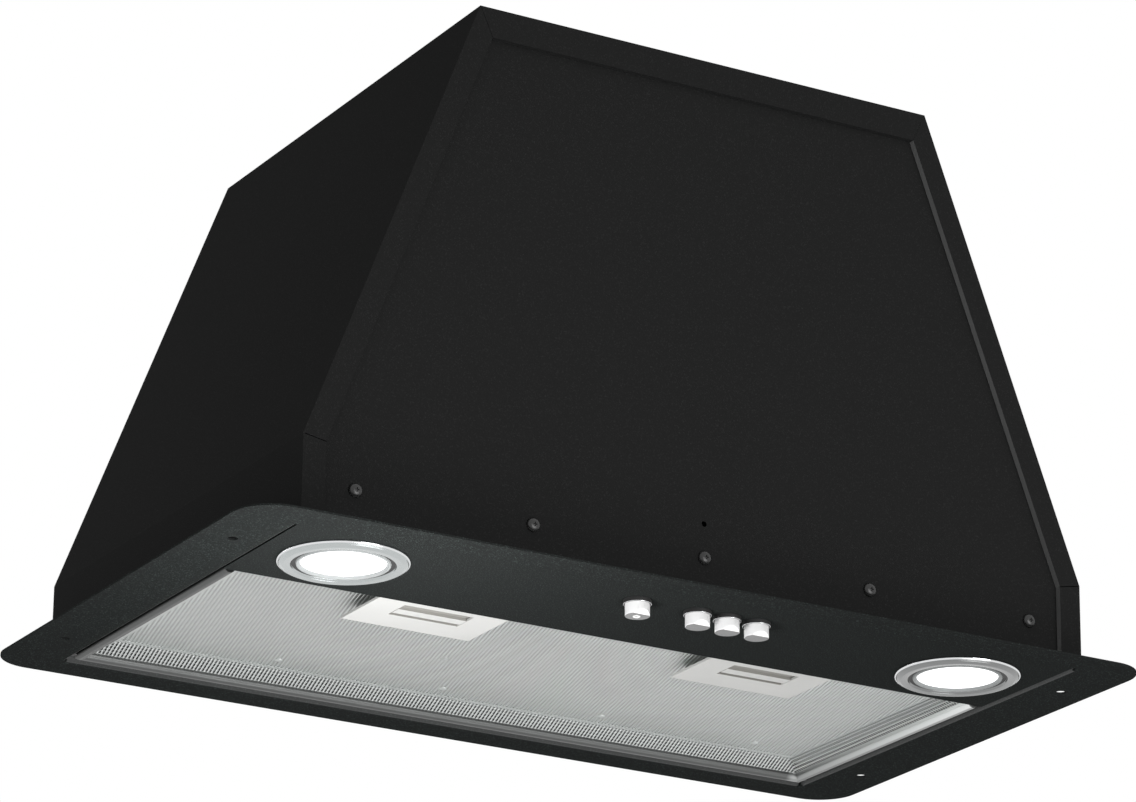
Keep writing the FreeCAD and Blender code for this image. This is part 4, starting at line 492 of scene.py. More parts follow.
def run_tree(graph, base, values):
    """Applies a tree to a mesh and returns the plain mesh that it makes."""
    item = bpy.data.objects.new("work", base)
    bpy.context.scene.collection.objects.link(item)
    modifier = item.modifiers.new("nodes", "NODES")
    modifier.node_group = graph.tree
    sockets = {entry.name: entry.identifier for entry in graph.tree.interface.items_tree
               if entry.in_out == "INPUT"}
    for label, value in values.items():
        modifier[sockets[label]] = value
    bpy.context.view_layer.update()
    shown = item.evaluated_get(bpy.context.evaluated_depsgraph_get())
    mesh = bpy.data.meshes.new_from_object(shown)
    bpy.data.objects.remove(item)
    return mesh


def finish_tree(graph, geometry, material):
    """Ends a tree in Realize Instances and Set Material."""
    real = graph.add("GeometryNodeRealizeInstances", inputs={0: geometry}).outputs[0]
    painted = graph.add("GeometryNodeSetMaterial", inputs={
        "Geometry": real, "Material": material}).outputs[0]
    graph.add("NodeGroupOutput", inputs={0: painted})


def point_rows(graph, count, corners):
    """Rows of loose points with as many corners each, and the number of each point."""
    row, line = (graph.add("GeometryNodeMeshLine", {"mode": "OFFSET"}, {"Count": number})
                 for number in (count, corners))
    rows = graph.add("GeometryNodeInstanceOnPoints", inputs={
        "Points": row.outputs[0], "Instance": line.outputs[0]}).outputs[0]
    points = graph.add("GeometryNodeRealizeInstances", inputs={0: rows}).outputs[0]
    return points, graph.value("GeometryNodeInputIndex")


def ribbons(graph, points, place, size, material):
    """Flat strips along rows of points, once these are moved to their places."""
    spot = graph.add("ShaderNodeCombineXYZ", inputs=dict(zip("XYZ", place))).outputs[0]
    rows = graph.add("GeometryNodeSetPosition", inputs={
        "Geometry": points, "Position": spot}).outputs[0]
    lines = graph.add("GeometryNodeMeshToCurve", inputs={0: rows}).outputs[0]
    level = graph.add("GeometryNodeSetCurveNormal", {"mode": "Z_UP"}, {"Curve": lines}).outputs[0]
    section = graph.add("GeometryNodeCurvePrimitiveQuadrilateral", inputs={
        "Width": size["Web"], "Height": size["Sheet"]}).outputs[0]
    strips = graph.add("GeometryNodeCurveToMesh", inputs={
        "Curve": level, "Profile Curve": section, "Fill Caps": True}).outputs[0]
    finish_tree(graph, strips, material)


TRAY_INPUTS = {
    "Strips": 10, "Pitch": 0.0024, "First": 0.0, "Low": -0.1, "High": 0.1, "Left": -0.2,
    "Front": -0.04, "Right": 0.2, "Rear": 0.12, "Slope": 0.011, "Front Slope": 0.006,
    "Base": 0.0, "Rise": 0.004, "Web": 0.001, "Sheet": 0.0005,
}


def share_between(value, low, low_slope, high, high_slope):
    """How far up the borders a place is: 0 at the edges and 1 on the flat."""
    share = ((value - low) / low_slope).at_most((high - value) / high_slope)
    return share.at_most(1.0).at_least(0.0)


def strip_tree(name, along_y, material):
    """Parallel strips over a shallow tray: up a sloping border, over the flat and down again."""
    graph, size = new_tree(name, TRAY_INPUTS)
    sides = (size["Left"], size["Slope"], size["Right"], size["Slope"])
    ends = (size["Front"], size["Front Slope"], size["Rear"], size["Slope"])
    own, cross = (ends, sides) if along_y else (sides, ends)
    points, index = point_rows(graph, size["Strips"], 4)
    corner = index % 4.0
    across = size["First"] + size["Pitch"] * (index / 4.0).floor()
    share = share_between(across, *cross)
    inner = (corner - 1.5).absolute() < 1.0
    far = corner > 1.5
    low_fold = (own[0] + share * own[1]).at_least(size["Low"] + SHORT)
    high_fold = (own[2] - share * own[3]).at_most(size["High"] - SHORT)
    near = size["Low"] + inner * (low_fold - size["Low"])
    end = size["High"] - inner * (size["High"] - high_fold)
    along = near + far * (end - near)
    height = size["Base"] + size["Rise"] * share_between(along, *own).at_most(share)
    place = (across, along, height) if along_y else (along, across, height)
    ribbons(graph, points, place, size, material)
    return graph


FLAT_INPUTS = {
    "Strips": 10, "Pitch": 0.0024, "First": 0.0, "Lean": 0.25, "Left": -0.2, "Front": -0.04,
    "Right": 0.2, "Rear": 0.12, "Level": 0.0, "Web": 0.001, "Sheet": 0.0005,
}


def leaning_tree(name, material):
    """Parallel strips that cross a level rectangle at a slant, cut off at its edges."""
    graph, size = new_tree(name, FLAT_INPUTS)
    points, index = point_rows(graph, size["Strips"], 2)
    start = size["First"] + size["Pitch"] * (index / 2.0).floor()
    enter = ((size["Left"] - start) / size["Lean"]).at_least(size["Front"])
    leave = ((size["Right"] - start) / size["Lean"]).at_most(size["Rear"])
    along = enter + (index % 2.0) * (leave - enter)
    place = (start + size["Lean"] * along, along, size["Level"])
    ribbons(graph, points, place, size, material)
    return graph


def fastener_tree(name, head, turn, material):
    """The same fastener on every point of a mesh."""
    graph, given = new_tree(name, {"Size": 1.0})
    shape = graph.add("GeometryNodeObjectInfo", inputs={"Object": head}).outputs["Geometry"]
    rotation = graph.add("FunctionNodeEulerToRotation", inputs={0: turn}).outputs[0]
    placed = graph.add("GeometryNodeInstanceOnPoints", inputs={
        "Points": given["Geometry"], "Instance": shape, "Rotation": rotation,
        "Scale": given["Size"]}).outputs[0]
    finish_tree(graph, placed, material)
    return graph


def fasteners(name, node, head, direction, slot=None):
    """Replaces a CAD node of like fasteners by shaped ones in the same places."""
    axis = max(range(3), key=lambda number: abs(direction[number]))
    sign = 1 if direction[axis] > 0 else -1
    points = []
    for low, high in islands(node):
        place = (low + high) / 2
        place[axis] = high[axis] if sign > 0 else low[axis]
        points.append(place)
    base = bpy.data.meshes.new("places")
    base.from_pydata(points, [], [])
    turn = Vector((0, 0, 1)).rotation_difference(Vector(direction)).to_euler()
    finish = finish_of(slot or node_slot(node))
    graph = fastener_tree(name + "_nodes", head, tuple(turn), finish)
    return new_piece(name, run_tree(graph, base, {"Size": 1.0}), node, finish)


# ---------------------------------------------------------------- user settings

def color(name, description, *default):
    """A colour to choose."""
    return FloatVectorProperty(name=name, description=description, subtype="COLOR",
                               default=default, min=0, max=1)


def measure(name, description, default, low, high):
    """A length to choose; default and limits are in millimetres."""
    return FloatProperty(name=name, description=description, default=default * MM,
                         min=low * MM, max=high * MM, unit="LENGTH", precision=5)


def angle(name, description, degrees):
    """An angle to choose; the default is in degrees."""
    return FloatProperty(name=name, description=description, default=math.radians(degrees),
                         subtype="ANGLE")


class HoodColors(bpy.types.PropertyGroup):
    """Colours of the finishes."""
    body: color("Body", "Powder coat of the body", 0.0186, 0.0188, 0.0187)
    chrome: color("Chrome", "Plating of lamps and buttons", 0.82, 0.83, 0.84)
    trim: color("Lamp trim", "Satin plating of the left lamp's ring", 0.56, 0.59, 0.59)
    # Darker than the left lamp's ring as painted shade; both rings are the same plating
    trim_painted_shade: color("Dark trim", "Plating of the right lamp's ring", 0.27, 0.275, 0.275)
    satin: color("Caps", "Satin caps of the push buttons", 0.93, 0.93, 0.93)
    # The caps' ends, painted darker than their sides as shade
    cap_end: color("Cap ends", "Ends of the push buttons", 0.17, 0.17, 0.17)
    # Painted shade in the finger windows, on the latches and on the windows' walls
    slide: color("Slides", "Slides behind the finger windows", 0.28, 0.275, 0.255)
    underside: color("Underside", "Coat of the flange and the fascia", 0.019, 0.0205, 0.0202)
    # Grain of the underside's coat, brightened as painted sparkle
    fleck_and_sparkle: color("Flecks", "Lighter flecks of the underside's coat", 0.055, 0.068, 0.064)
    aluminium: color("Aluminium", "Rivets and backing of the filter", 0.56, 0.58, 0.57)
    # Brightest colour of the bead's painted highlight; the rest of the bead is painted darker as
    # shade
    bead: color("Bead", "Bead round the filter", 0.86, 0.88, 0.87)
    sheet: color("Sheet", "Perforated sheet of the filter", 0.69, 0.71, 0.7)
    # Near black: the foil pack painted dark as the shade inside the filter
    core: color("Core", "Foil pack behind the perforated sheet", 0.1, 0.104, 0.104)
    zinc: color("Zinc", "Plated steel inside the body", 0.55, 0.56, 0.57)
    handle: color("Handles", "Latch handles of the filter", 0.56, 0.56, 0.545)
    lamp: color("Lamp", "Lamp discs", 0.95, 0.95, 0.95)


class HoodFilter(bpy.types.PropertyGroup):
    """Sizes of the filter's perforated sheet."""
    pitch: measure("Pitch", "Spacing of the holes", 2.14, 1.5, 8)
    bridge: measure("Bridge", "Metal between two holes of a row", 0.5, 0.1, 2)
    web: measure("Web", "Metal between two rows of holes", 1.15, 0.3, 4)
    slope: measure("Border", "Width of the sloping border", 11, 2, 30)
    front_slope: measure("Front border", "Width of the border along the fascia", 6, 2, 30)
    rim: measure("Rim", "Width of the frame's bead", 6, 1, 20)
    front_rim: measure("Front rim", "Width of the frame along the fascia", 2.2, 1, 20)
    sheet: measure("Sheet", "Thickness of the perforated sheet", 0.6, 0.2, 2)
    lean: FloatProperty(name="Lean", description="Sideways run of the rows of holes per length",
                        default=0.25, min=0.02, max=1)
    band: measure("Plain band", "Plain band behind the flat", 3.4, 0.5, 10)


class HoodDetail(bpy.types.PropertyGroup):
    """Edge softness and roundness."""
    edge: measure("Edges", "Rounding of sheet edges", 0.25, 0.05, 1)
    segments: IntProperty(name="Segments", description="Segments of a lamp trim",
                          default=96, min=24, max=256)


class HoodStudio(bpy.types.PropertyGroup):
    """Camera and floor."""
    azimuth: angle("Azimuth", "Camera to the left of the front", 30.01)
    rise: angle("Rise", "How far the camera looks up", 19.95)
    roll: angle("Roll", "Camera roll", 0.578)
    distance: FloatProperty(name="Distance", description="Camera to target", default=2.63,
                            unit="LENGTH")
    target: FloatVectorProperty(name="Target", description="Point in the middle of the view",
                                default=(-0.0237, -0.0365, 0.1302), subtype="TRANSLATION")
    lens: FloatProperty(name="Lens", description="Focal length", default=159.6, unit="CAMERA")
    floor: FloatProperty(name="Floor", description="Floor below the flange", default=1.55,
                         unit="LENGTH")


# ---------------------------------------------------------------- pieces

class HOOD_OT_finishes(bpy.types.Operator):
    """Make every finish and give it to the CAD nodes"""
    bl_idname = "hood.finishes"
    bl_label = "Finishes"

    def execute(self, context):
        made = make_finishes(context.scene.hood_colors)
        for slot, material in made.items():
            FINISH_NAMES[slot] = material.name
        for name, item in frame["nodes"].items():
            dress(item, made[node_slot(name)])
        return {"FINISHED"}


class HOOD_OT_shell(bpy.types.Operator):
    """Round the edges of the body's sheets"""
    bl_idname = "hood.shell"
    bl_label = "Body sheets"

    def execute(self, context):
        edge = context.scene.hood_detail.edge
        for node in ("front_panel", "back_panel"):
            softened(node, node + "_sheet", edge)
        fascia, base, wrapper = (softened(node, node + "_sheet", edge)
                                 for node in ("control_fascia", "base_frame", "body_wrapper"))
        for item in (fascia, base):
            dress(item, finish_of("underside"))
        bend_top = 5 * MM
        paint_faces(base.data, "bend", lambda place, normal: (
            place.z < bend_top and 0.05 < -normal.z < 0.93))
        # The front return's side lips take the lighter coat as a painted highlight
        lip_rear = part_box("front_panel")[0].y + 0.2 * MM
        paint_faces(wrapper.data, "lip", lambda place, normal: (
            abs(normal.y) < 0.1 and abs(normal.x) > 0.5
            and normal.x * place.x < 0 and place.y < lip_rear))
        return {"FINISHED"}


def bridge(work, first, second):
    """Joins two rings of corners by a ring of faces."""
    for step in range(len(first)):
        work.faces.new((first[step - 1], first[step], second[step], second[step - 1]))


def dome(radius, height, flat):
    """A domed head's profile from its flat top, a share of its radius, to its edge."""
    angles = [math.pi / 2 * step / 5 for step in range(6)]
    return [(radius * (flat + (1 - flat) * math.sin(angle)), -height * (1 - math.cos(angle)))
            for angle in angles]


def pan_head(radius, height, shank, length, slot):
    """A pan head with a cross recess, its top at the origin and its shank down."""
    turns = [2 * math.pi * step / 24 for step in range(24)]
    profile = dome(radius, height * 0.85, 0.34) + [
        (radius, -height), (shank, -height), (shank, -height - length)]
    arm, half, depth = radius * 0.3, slot / 2, height * 0.3
    cross = [(arm, -half), (arm, half), (half, half), (half, arm), (-half, arm), (-half, half),
             (-arm, half), (-arm, -half), (-half, -half), (-half, -arm), (half, -arm),
             (half, -half)]

    def build(work):
        rings = [[work.verts.new((size * math.cos(turn), size * math.sin(turn), level))
                  for turn in turns] for size, level in profile]
        for first, second in zip(rings, rings[1:]):
            bridge(work, first, second)
        work.faces.new(rings[-1])
        upper, lower = ([work.verts.new((x, y, level)) for x, y in cross] for level in (0, -depth))
        edges = [work.edges.new((upper[step - 1], upper[step])) for step in range(len(upper))]
        outer = rings[0]
        edges += [work.edges.get((outer[step - 1], outer[step])) for step in range(len(turns))]
        bmesh.ops.triangle_fill(work, use_beauty=True, use_dissolve=False, edges=edges)
        bridge(work, upper, lower)
        work.faces.new(lower)
    return mesh_from(build)


def rivet_head(radius, height, shank, length):
    """A domed rivet head, its top at the origin and its shank down."""
    profile = dome(radius, height, 0.0) + [(shank, -height), (shank, -length), (0, -length)]
    return mesh_from(lambda work: lathe(work, profile, 20))


SCREWS = {  # node: the way that its heads face
    "front_panel_screws": (0, -1, 0), "back_panel_screws": (0, 1, 0), "collar_screws": (0, 0, 1),
    "blower_screws": (0, 0, 1), "bracket_screws": (-1, 0, 0), "terminal_cover_screws": (0, -1, 0),
}


class HOOD_OT_screws(bpy.types.Operator):
    """Put pan head screws in the places of the CAD fasteners"""
    bl_idname = "hood.screws"
    bl_label = "Screws"

    def execute(self, context):
        low, high = islands("front_panel_screws")[0]
        shape = pan_head((high.x - low.x) / 2, 2.4 * MM, 1.95 * MM, 6.9 * MM, 0.6 * MM)
        head = bpy.data.objects.new("pan_head", shape)
        for node, direction in SCREWS.items():
            slot = "screw_black" if node_slot(node) == "black_paint" else None
            fasteners(node + "_heads", node, head, direction, slot)
        return {"FINISHED"}


def lamp_trim(side, segments):
    """A stepped trim with a groove, turned round the lamp's own centre."""
    node = "lamp_bezel_" + side
    low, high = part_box(node)
    centre = (low + high) / 2
    lens_low, lens_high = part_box("lamp_lens_" + side)
    can_low, can_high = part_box("lamp_housing_" + side)
    rim = (high.x - low.x) / 2
    drop = -low.z
    neck = (can_high.x - can_low.x) / 2
    bore = neck - 1.2 * MM
    seat = (lens_high.x - lens_low.x) / 2 + 0.3 * MM
    lit = 21.3 * MM
    groove_in, groove_out, groove_top = 23.6 * MM, 25.7 * MM, -1.75 * MM
    outline = [
        (bore, high.z), (neck, high.z), (neck, 0.0), (rim, 0.0), (rim, -drop * 0.3),
        (rim - 0.35 * MM, -drop * 0.5), (rim - 1.0 * MM, -drop * 0.52),
        (rim - 1.3 * MM, -drop * 0.75), (rim - 3.4 * MM, -drop),
        (groove_out + 0.5 * MM, -drop * 0.93), (groove_out, groove_top), (groove_in, groove_top),
        (groove_in - 0.4 * MM, -drop * 0.84), (lit + 0.8 * MM, -drop * 0.84), (lit, -drop * 0.5),
        (lit, lens_low.z), (seat, lens_low.z), (seat, lens_high.z), (bore, lens_high.z),
    ]
    profile = rounded(outline, 0.3 * MM)
    mesh = mesh_from(lambda work: lathe(work, profile, segments, (centre.x, centre.y, 0)))
    # The right lamp's trim takes the darker copy of the plating: painted shade
    new_piece(node + "_trim", mesh, node, finish_of("trim" if side == "left" else "trim_painted_shade"))

    def reach(place):
        return (place.xy - centre.xy).length

    paint_faces(mesh, "shadow_gap", lambda place, normal: (
        groove_in < reach(place) < groove_out and abs(place.z - groove_top) < 0.2 * MM))
    paint_faces(mesh, "inner_ring", lambda place, normal: (
        reach(place) < groove_in - 0.05 * MM and place.z < lens_low.z + 0.1 * MM))
    paint_faces(mesh, "chrome", lambda place, normal: reach(place) > rim - 0.75 * MM)


class HOOD_OT_lamps(bpy.types.Operator):
    """Turn the lamp trims"""
    bl_idname = "hood.lamps"
    bl_label = "Lamps"

    def execute(self, context):
        for side in ("left", "right"):
            lamp_trim(side, context.scene.hood_detail.segments)
        return {"FINISHED"}


def button_piece(node, marked):
    """A push button with a bevelled end, soft edges and its stem."""
    low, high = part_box(node)
    centre = (low + high) / 2
    radius = (high.x - low.x) / 2
    cap, stem, bevel = 1 * MM, 4 * MM, 2.2 * MM
    ring, wire, rise, back = 1.5 * MM, 0.45 * MM, 0.3 * MM, 0.8 * MM
    body = [(0, low.z), (radius, low.z), (radius, cap), (stem, cap), (stem, high.z), (0, high.z)]
    mark = [(ring + wire * math.cos(angle), low.z + rise * math.sin(angle))
            for angle in [2 * math.pi * step / 10 for step in range(10)]]

    def build(work):
        lathe(work, body, 64, (centre.x, centre.y, 0))
        edge = Vector((centre.x, centre.y - radius, low.z + bevel))
        cut = bmesh.ops.bisect_plane(work, geom=work.verts[:] + work.edges[:] + work.faces[:],
                                     plane_co=edge, plane_no=(0, -1, -1), clear_outer=True)
        rim = [item for item in cut["geom_cut"] if isinstance(item, bmesh.types.BMEdge)]
        bmesh.ops.contextual_create(work, geom=rim)
        if marked:
            lathe(work, mark, 32, (centre.x, centre.y + back, 0))

    item = new_piece(node + "_cap", mesh_from(build), node, finish_of("satin"), 30.0)
    # The downward end face takes the darker cap colour: painted shade
    paint_faces(item.data, "cap_end", lambda place, normal: (
        normal.z < -0.95 and abs(place.z - low.z) < 0.1 * MM))
    round_edges(item, 0.35 * MM, 3, 28)


class HOOD_OT_buttons(bpy.types.Operator):
    """Make the push buttons and their flared collars"""
    bl_idname = "hood.buttons"
    bl_label = "Buttons"

    def execute(self, context):
        for node in ("button_light", "button_speed_1", "button_speed_2", "button_speed_3"):
            button_piece(node, node == "button_light")
        drop, radius, wall = 2.2 * MM, 7.2 * MM, 0.75 * MM
        outline = [(radius - wall, 0), (radius - wall, -drop), (radius, -drop), (radius, 0)]
        centres = [(low + high) / 2 for low, high in islands("button_collars")]

        def build(work):
            for centre in centres:
                lathe(work, rounded(outline, 0.2 * MM), 64, (centre.x, centre.y, 0))
        mesh = mesh_from(build)
        new_piece("button_collar_rings", mesh, "button_collars", finish_of("chrome"))
        # The collars' walls are painted near black: a painted reflection of the dark fascia
        paint_faces(mesh, "shadow_gap", lambda place, normal: (
            place.z > -drop * 0.88
            or min((place.xy - centre.xy).length for centre in centres) < radius - 0.25 * MM))
        return {"FINISHED"}


def ring_band(work, outer, inner, low, high):
    """A flat closed band between two rectangles (left, front, right, rear)."""
    rings = [[work.verts.new((x, y, level)) for x, y in (
        (left, front), (right, front), (right, rear), (left, rear))]
        for (left, front, right, rear), level in (
            (outer, low), (outer, high), (inner, high), (inner, low))]
    for first, second in zip(rings, rings[1:] + rings[:1]):
        bridge(work, first, second)


def inset(edges, distance):
    """A rectangle moved inwards."""
    left, front, right, rear = edges
    return left + distance, front + distance, right - distance, rear - distance


class HOOD_OT_filter(bpy.types.Operator):
    """Lay the perforated sheet of the filter as strips and plain bands"""
    bl_idname = "hood.filter"
    bl_label = "Filter mesh"

    def execute(self, context):
        sizes = context.scene.hood_filter
        pitch = sizes.pitch
        low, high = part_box("filter_screen")
        frame_low, frame_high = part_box("filter_frame")
        left, right = frame_low.x + sizes.rim, frame_high.x - sizes.rim
        front, rear = frame_low.y + sizes.front_rim, frame_high.y - sizes.rim
        rise = high.z - low.z - sizes.sheet
        level = low.z + sizes.sheet * 0.3
        flat = (left + sizes.slope, front + sizes.front_slope,
                right - sizes.slope, rear - sizes.slope)
        plate_rear = flat[1] + 1.5 * MM
        (left_low, left_high), (right_low, right_high) = (
            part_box("filter_handle_" + side) for side in ("left", "right"))
        gap = 0.3 * MM
        beside = ((left, left_low.x - gap), (left_high.x + gap, right_low.x - gap),
                  (right_high.x + gap, right))
        finish = finish_of("sheet")
        graphs = {along_y: strip_tree("strips_y" if along_y else "strips_x", along_y, finish)
                  for along_y in (False, True)}
        leaning = leaning_tree("strips_flat", finish)
        parts = []

        def run(graph, values):
            parts.append(run_tree(graph, bpy.data.meshes.new("start"), {"Pitch": pitch, **values}))

        def lay(along_y, first, last, start, end):
            """Straight strips between two places across them, from start to end."""
            origin = left if along_y else front
            touch = 0.001
            number = math.ceil((first - origin) / pitch - touch)
            count = math.floor((last - origin) / pitch - touch) - number + 1
            if count > 0:
                run(graphs[along_y], {
                    "Strips": count, "First": origin + number * pitch, "Low": start, "High": end,
                    "Left": left, "Front": front, "Right": right, "Rear": rear,
                    "Slope": sizes.slope, "Front Slope": sizes.front_slope,
                    "Base": level, "Rise": rise, "Web": sizes.web if along_y else sizes.bridge,
                    "Sheet": sizes.sheet * (0.3 if along_y else 0.2)})

        def lay_flat(x_low, y_low, x_high, y_high):
            """Leaning strips over a rectangle of the flat."""
            margin = 0.1
            number = math.ceil((x_low - sizes.lean * y_high - left) / pitch + margin)
            last = math.floor((x_high - sizes.lean * y_low - left) / pitch - margin)
            run(leaning, {
                "Strips": last - number + 1, "First": left + number * pitch, "Lean": sizes.lean,
                "Left": x_low, "Front": y_low, "Right": x_high, "Rear": y_high,
                "Level": level + rise, "Web": sizes.web, "Sheet": sizes.sheet * 0.3})

        lay(True, left, flat[0], front, rear)
        lay(True, flat[2], right, front, rear)
        lay(True, flat[0], flat[2], flat[3], rear)
        lay_flat(flat[0], plate_rear, flat[2], flat[3])
        for start, end in beside:
            first, last = max(start, flat[0]), min(end, flat[2])
            lay(True, first, last, front, flat[1])
            lay(False, front, plate_rear, start, end)
            lay_flat(first, flat[1], last, plate_rear)
        lay(False, plate_rear, rear, left, right)

        def build(work):
            for part in parts:
                work.from_mesh(part)
            lap = 0.8 * MM
            inner = (left + lap, front + 0.1 * MM, right - lap, rear - lap)
            ring_band(work, (low.x, low.y, high.x, high.y), inner, low.z, low.z + sizes.sheet)
            fold = (flat[0] + 0.3 * MM, flat[1] + 0.3 * MM, flat[2] - 0.6 * MM,
                    flat[3] - sizes.band)
            ring_band(work, inset(flat, -0.3 * MM), fold, low.z + rise, high.z)
        mesh = mesh_from(build)
        new_piece("filter_mesh", mesh, "filter_screen", finish, smooth=0)
        rim, rim_top = 0.85 * MM, low.z + sizes.sheet * 1.1
        # The sheet's edge along the frame takes the bead's finish with its painted highlight and
        # shade
        paint_faces(mesh, "bead", lambda place, normal: place.z < rim_top and (
            place.x < left + rim or place.x > right - rim
            or place.y < front or place.y > rear - rim))
        rivet = rivet_head(2.7 * MM, 1.0 * MM, 1.5 * MM, 4 * MM)
        fasteners("filter_rivet_heads", "filter_rivets",
                  bpy.data.objects.new("rivet_head", rivet), (0, 0, -1))
        return {"FINISHED"}


class HOOD_OT_fittings(bpy.types.Operator):
    """Round the edges of the filter's frame, handles, latches and of the inner parts"""
    bl_idname = "hood.fittings"
    bl_label = "Fittings"

    def execute(self, context):
        dress(frame["nodes"]["filter_pivot_pins"], finish_of("screw_black"))
        # The frame takes the bead's finish with its painted highlight and shade
        dress(softened("filter_frame", "filter_frame_soft", 0.2 * MM), finish_of("bead"))
        for node in ("filter_handle_left", "filter_handle_right"):
            self.handle(node, 1.4 * MM)
        for node in ("latch_left", "latch_right"):
            self.latch(node, 1.5 * MM)
        for node in ("switch_bank", "switch_bracket", "terminal_box", "terminal_box_cover",
                     "terminal_block", "motor_bracket", "blower_housing_left",
                     "blower_housing_right"):
            softened(node, node + "_soft", 0.15 * MM, 1)
        return {"FINISHED"}

    def handle(self, node, widening):
        """A handle whose finger window is wider to the front and whose walls are painted grey as
        shade.
        """
        mesh = softened(node, node + "_soft", 0.2 * MM).data
        low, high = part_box(node)
        side = 11 * MM
        window = [vertex for vertex in mesh.vertices
                  if low.x + side < vertex.co.x < high.x - side and vertex.co.y > low.y + 3 * MM]
        edge = min(vertex.co.y for vertex in window)
        for vertex in window:
            if vertex.co.y < edge + 0.45 * MM:
                vertex.co.y -= widening
        wall = side + 1 * MM
        paint_faces(mesh, "slide", lambda place, normal: (
            low.x + wall < place.x < high.x - wall and low.y + 4 * MM < place.y < high.y - 8 * MM
            and place.z < low.z + 2 * MM and normal.y < -0.5))

    def latch(self, node, relief):
        """A latch whose finger bar is cut back at the front, its sliding part painted grey as
        shade.
        """
        mesh = softened(node, node + "_soft", 0.2 * MM).data
        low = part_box(node)[0].z
        bar = [vertex for vertex in mesh.vertices if vertex.co.z < low + 0.1 * MM]
        front = min(vertex.co.y for vertex in bar)
        for vertex in mesh.vertices:
            if vertex.co.z < low + 2.0 * MM and abs(vertex.co.y - front) < 0.05 * MM:
                vertex.co.y += relief
        paint_faces(mesh, "slide", lambda place, normal: place.z > low + 0.1 * MM)


# ---------------------------------------------------------------- studio

LAMPS = (  # name, place, aim (None is the middle of the view), side and watts
    ("front", (0.6, -2.6, -0.25), None, 1.5, 27.0),
    ("below", (0.3, -0.8, -1.5), None, 1.2, 12.5),
    ("left", (-0.9, 0.62, 0.2), (-0.2, 0.1, 0.1), 0.5, 2.8),
    ("back", (0.9, 2.0, 1.7), (0, 0, 0.15), 1.2, 30.0),
    ("corner", (-0.2, -0.16, -0.17), (-0.16, -0.1, 0.0), 0.12, 0.65),
)


def seen_rays(graph):
    """1 for rays that show the background itself, straight or in metal and glass."""
    path = graph.add("ShaderNodeLightPath").outputs
    camera, glossy, through = (Value(graph, path["Is %s Ray" % kind])
                               for kind in ("Camera", "Glossy", "Transmission"))
    return camera.at_least(glossy).at_least(through)


def area_light(name, place, target, size, power):
    """A soft square lamp aimed at a point; the near corner lamp makes no reflection."""
    lamp = bpy.data.lights.new(name, "AREA")
    lamp.shape = "SQUARE"
    lamp.size = size
    lamp.energy = power
    item = bpy.data.objects.new(name, lamp)
    item.location = place
    aim = Vector(target) - Vector(place)
    item.rotation_euler = aim.to_track_quat("-Z", "Y").to_euler()
    item.visible_camera = False
    item.visible_glossy = name != "corner"
    bpy.context.scene.collection.objects.link(item)


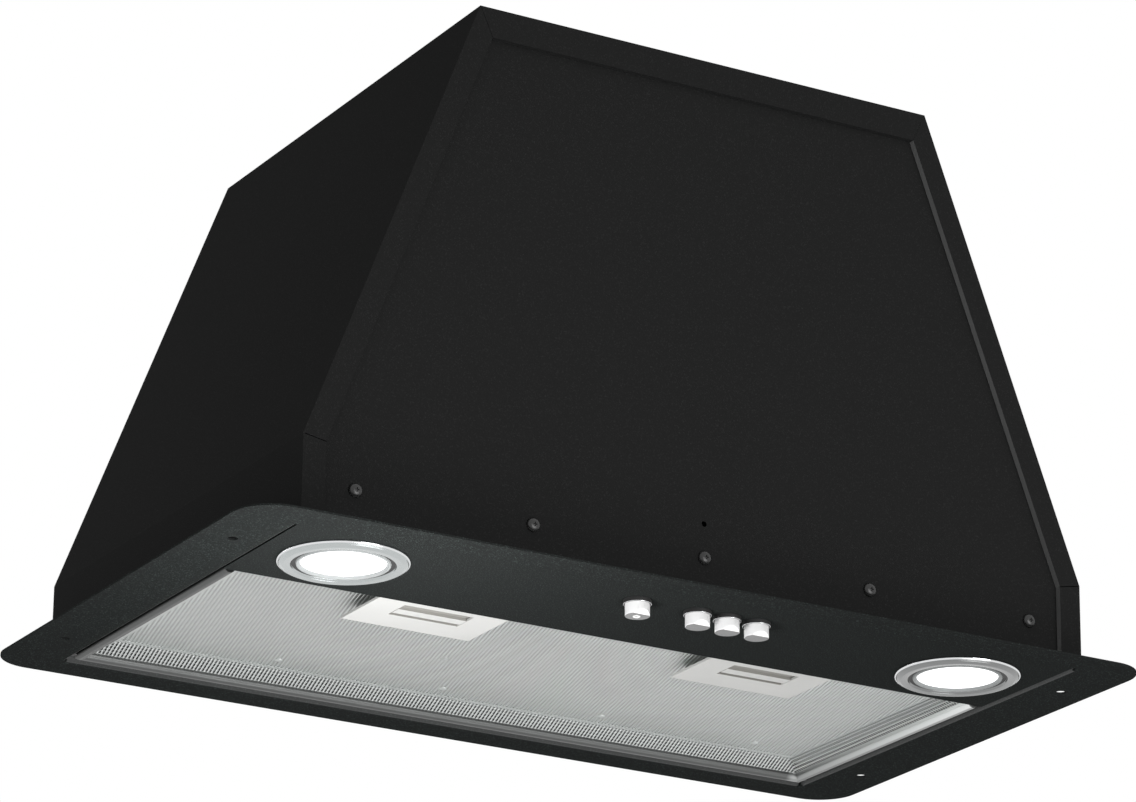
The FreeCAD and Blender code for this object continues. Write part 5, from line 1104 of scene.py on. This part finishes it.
class HOOD_OT_studio(bpy.types.Operator):
    """Set up the camera, the floor, the background and the lamps"""
    bl_idname = "hood.studio"
    bl_label = "Studio"

    def execute(self, context):
        studio = context.scene.hood_studio
        self.make_camera(context, studio)
        self.make_floor(context, studio)
        self.make_world(context)
        for name, place, aim, size, power in LAMPS:
            area_light(name, place, aim or studio.target, size, power)
        context.scene.view_settings.view_transform = "Standard"
        return {"FINISHED"}

    def make_camera(self, context, studio):
        yaw, pitch, roll = studio.azimuth, studio.rise, studio.roll
        level = math.cos(pitch)
        ahead = Vector((math.sin(yaw) * level, math.cos(yaw) * level, math.sin(pitch)))
        right = Vector((math.cos(yaw), -math.sin(yaw), 0))
        up = right.cross(ahead)
        right, up = (math.cos(roll) * right + math.sin(roll) * up,
                     math.cos(roll) * up - math.sin(roll) * right)
        data = bpy.data.cameras.new("view")
        data.sensor_width = 36.0
        data.lens = studio.lens
        data.clip_end = 60.0
        camera = bpy.data.objects.new("view", data)
        axes = Matrix((right, up, -ahead)).transposed()
        place = Vector(studio.target) - studio.distance * ahead
        camera.matrix_world = Matrix.Translation(place) @ axes.to_4x4()
        context.scene.collection.objects.link(camera)
        context.scene.camera = camera

    def make_floor(self, context, studio):
        mesh = mesh_from(lambda work: bmesh.ops.create_grid(
            work, x_segments=8, y_segments=8, size=9.0))
        item = bpy.data.objects.new("floor", mesh)
        item.location = (0, 0, -studio.floor)
        context.scene.collection.objects.link(item)
        paint = bpy.data.materials.new("pale_floor")
        paint.use_nodes = True
        graph = Graph(paint.node_tree)
        paint.node_tree.nodes.clear()
        matt = graph.add("ShaderNodeBsdfDiffuse", inputs={"Color": (0.82, 0.82, 0.82, 1.0)})
        clear = graph.add("ShaderNodeBsdfTransparent")
        pale = graph.add("ShaderNodeEmission", inputs={"Color": (1, 1, 1, 1), "Strength": 0.9})
        upper = graph.add("ShaderNodeMixShader", inputs={
            0: seen_rays(graph), 1: matt.outputs[0], 2: pale.outputs[0]})
        below = graph.add("ShaderNodeNewGeometry").outputs["Backfacing"]
        mixed = graph.add("ShaderNodeMixShader", inputs={
            0: below, 1: upper.outputs[0], 2: clear.outputs[0]})
        graph.add("ShaderNodeOutputMaterial", inputs={0: mixed.outputs[0]})
        item.data.materials.append(paint)

    def make_world(self, context):
        world = bpy.data.worlds.new("studio")
        context.scene.world = world
        world.use_nodes = True
        graph = Graph(world.node_tree)
        world.node_tree.nodes.clear()
        strength = 0.5 + seen_rays(graph) * 0.5
        sky = graph.add("ShaderNodeBackground", inputs={
            "Color": (1, 1, 1, 1), "Strength": strength})
        graph.add("ShaderNodeOutputWorld", inputs={0: sky.outputs[0]})


# ---------------------------------------------------------------- add-on

STEPS = ("finishes", "shell", "screws", "lamps", "buttons", "filter", "fittings", "studio")


class HOOD_PT_panel(bpy.types.Panel):
    """Lists the hood's settings and steps."""
    bl_idname = "HOOD_PT_panel"
    bl_label = "Range hood"
    bl_space_type = "VIEW_3D"
    bl_region_type = "UI"
    bl_category = "Hood"

    def draw(self, context):
        scene = context.scene
        for name, group in SETTINGS.items():
            box = self.layout.box()
            for field in group.__annotations__:
                box.prop(getattr(scene, name), field)
        for step in STEPS:
            self.layout.operator("hood." + step)


CLASSES = (
    HoodColors, HoodFilter, HoodDetail, HoodStudio, HOOD_OT_finishes, HOOD_OT_shell,
    HOOD_OT_screws, HOOD_OT_lamps, HOOD_OT_buttons, HOOD_OT_filter, HOOD_OT_fittings,
    HOOD_OT_studio, HOOD_PT_panel,
)
SETTINGS = {"hood_colors": HoodColors, "hood_filter": HoodFilter, "hood_detail": HoodDetail,
            "hood_studio": HoodStudio}


def register():
    """Registers the classes and the settings."""
    for item in CLASSES:
        bpy.utils.register_class(item)
    for name, group in SETTINGS.items():
        setattr(bpy.types.Scene, name, PointerProperty(type=group))


def unregister():
    """Removes the settings and the classes."""
    for name in SETTINGS:
        delattr(bpy.types.Scene, name)
    for item in reversed(CLASSES):
        bpy.utils.unregister_class(item)


def main():
    """Makes the whole hood."""
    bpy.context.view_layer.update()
    register()
    for step in STEPS:
        getattr(bpy.ops.hood, step)()


if __name__ == "__main__":
    main()
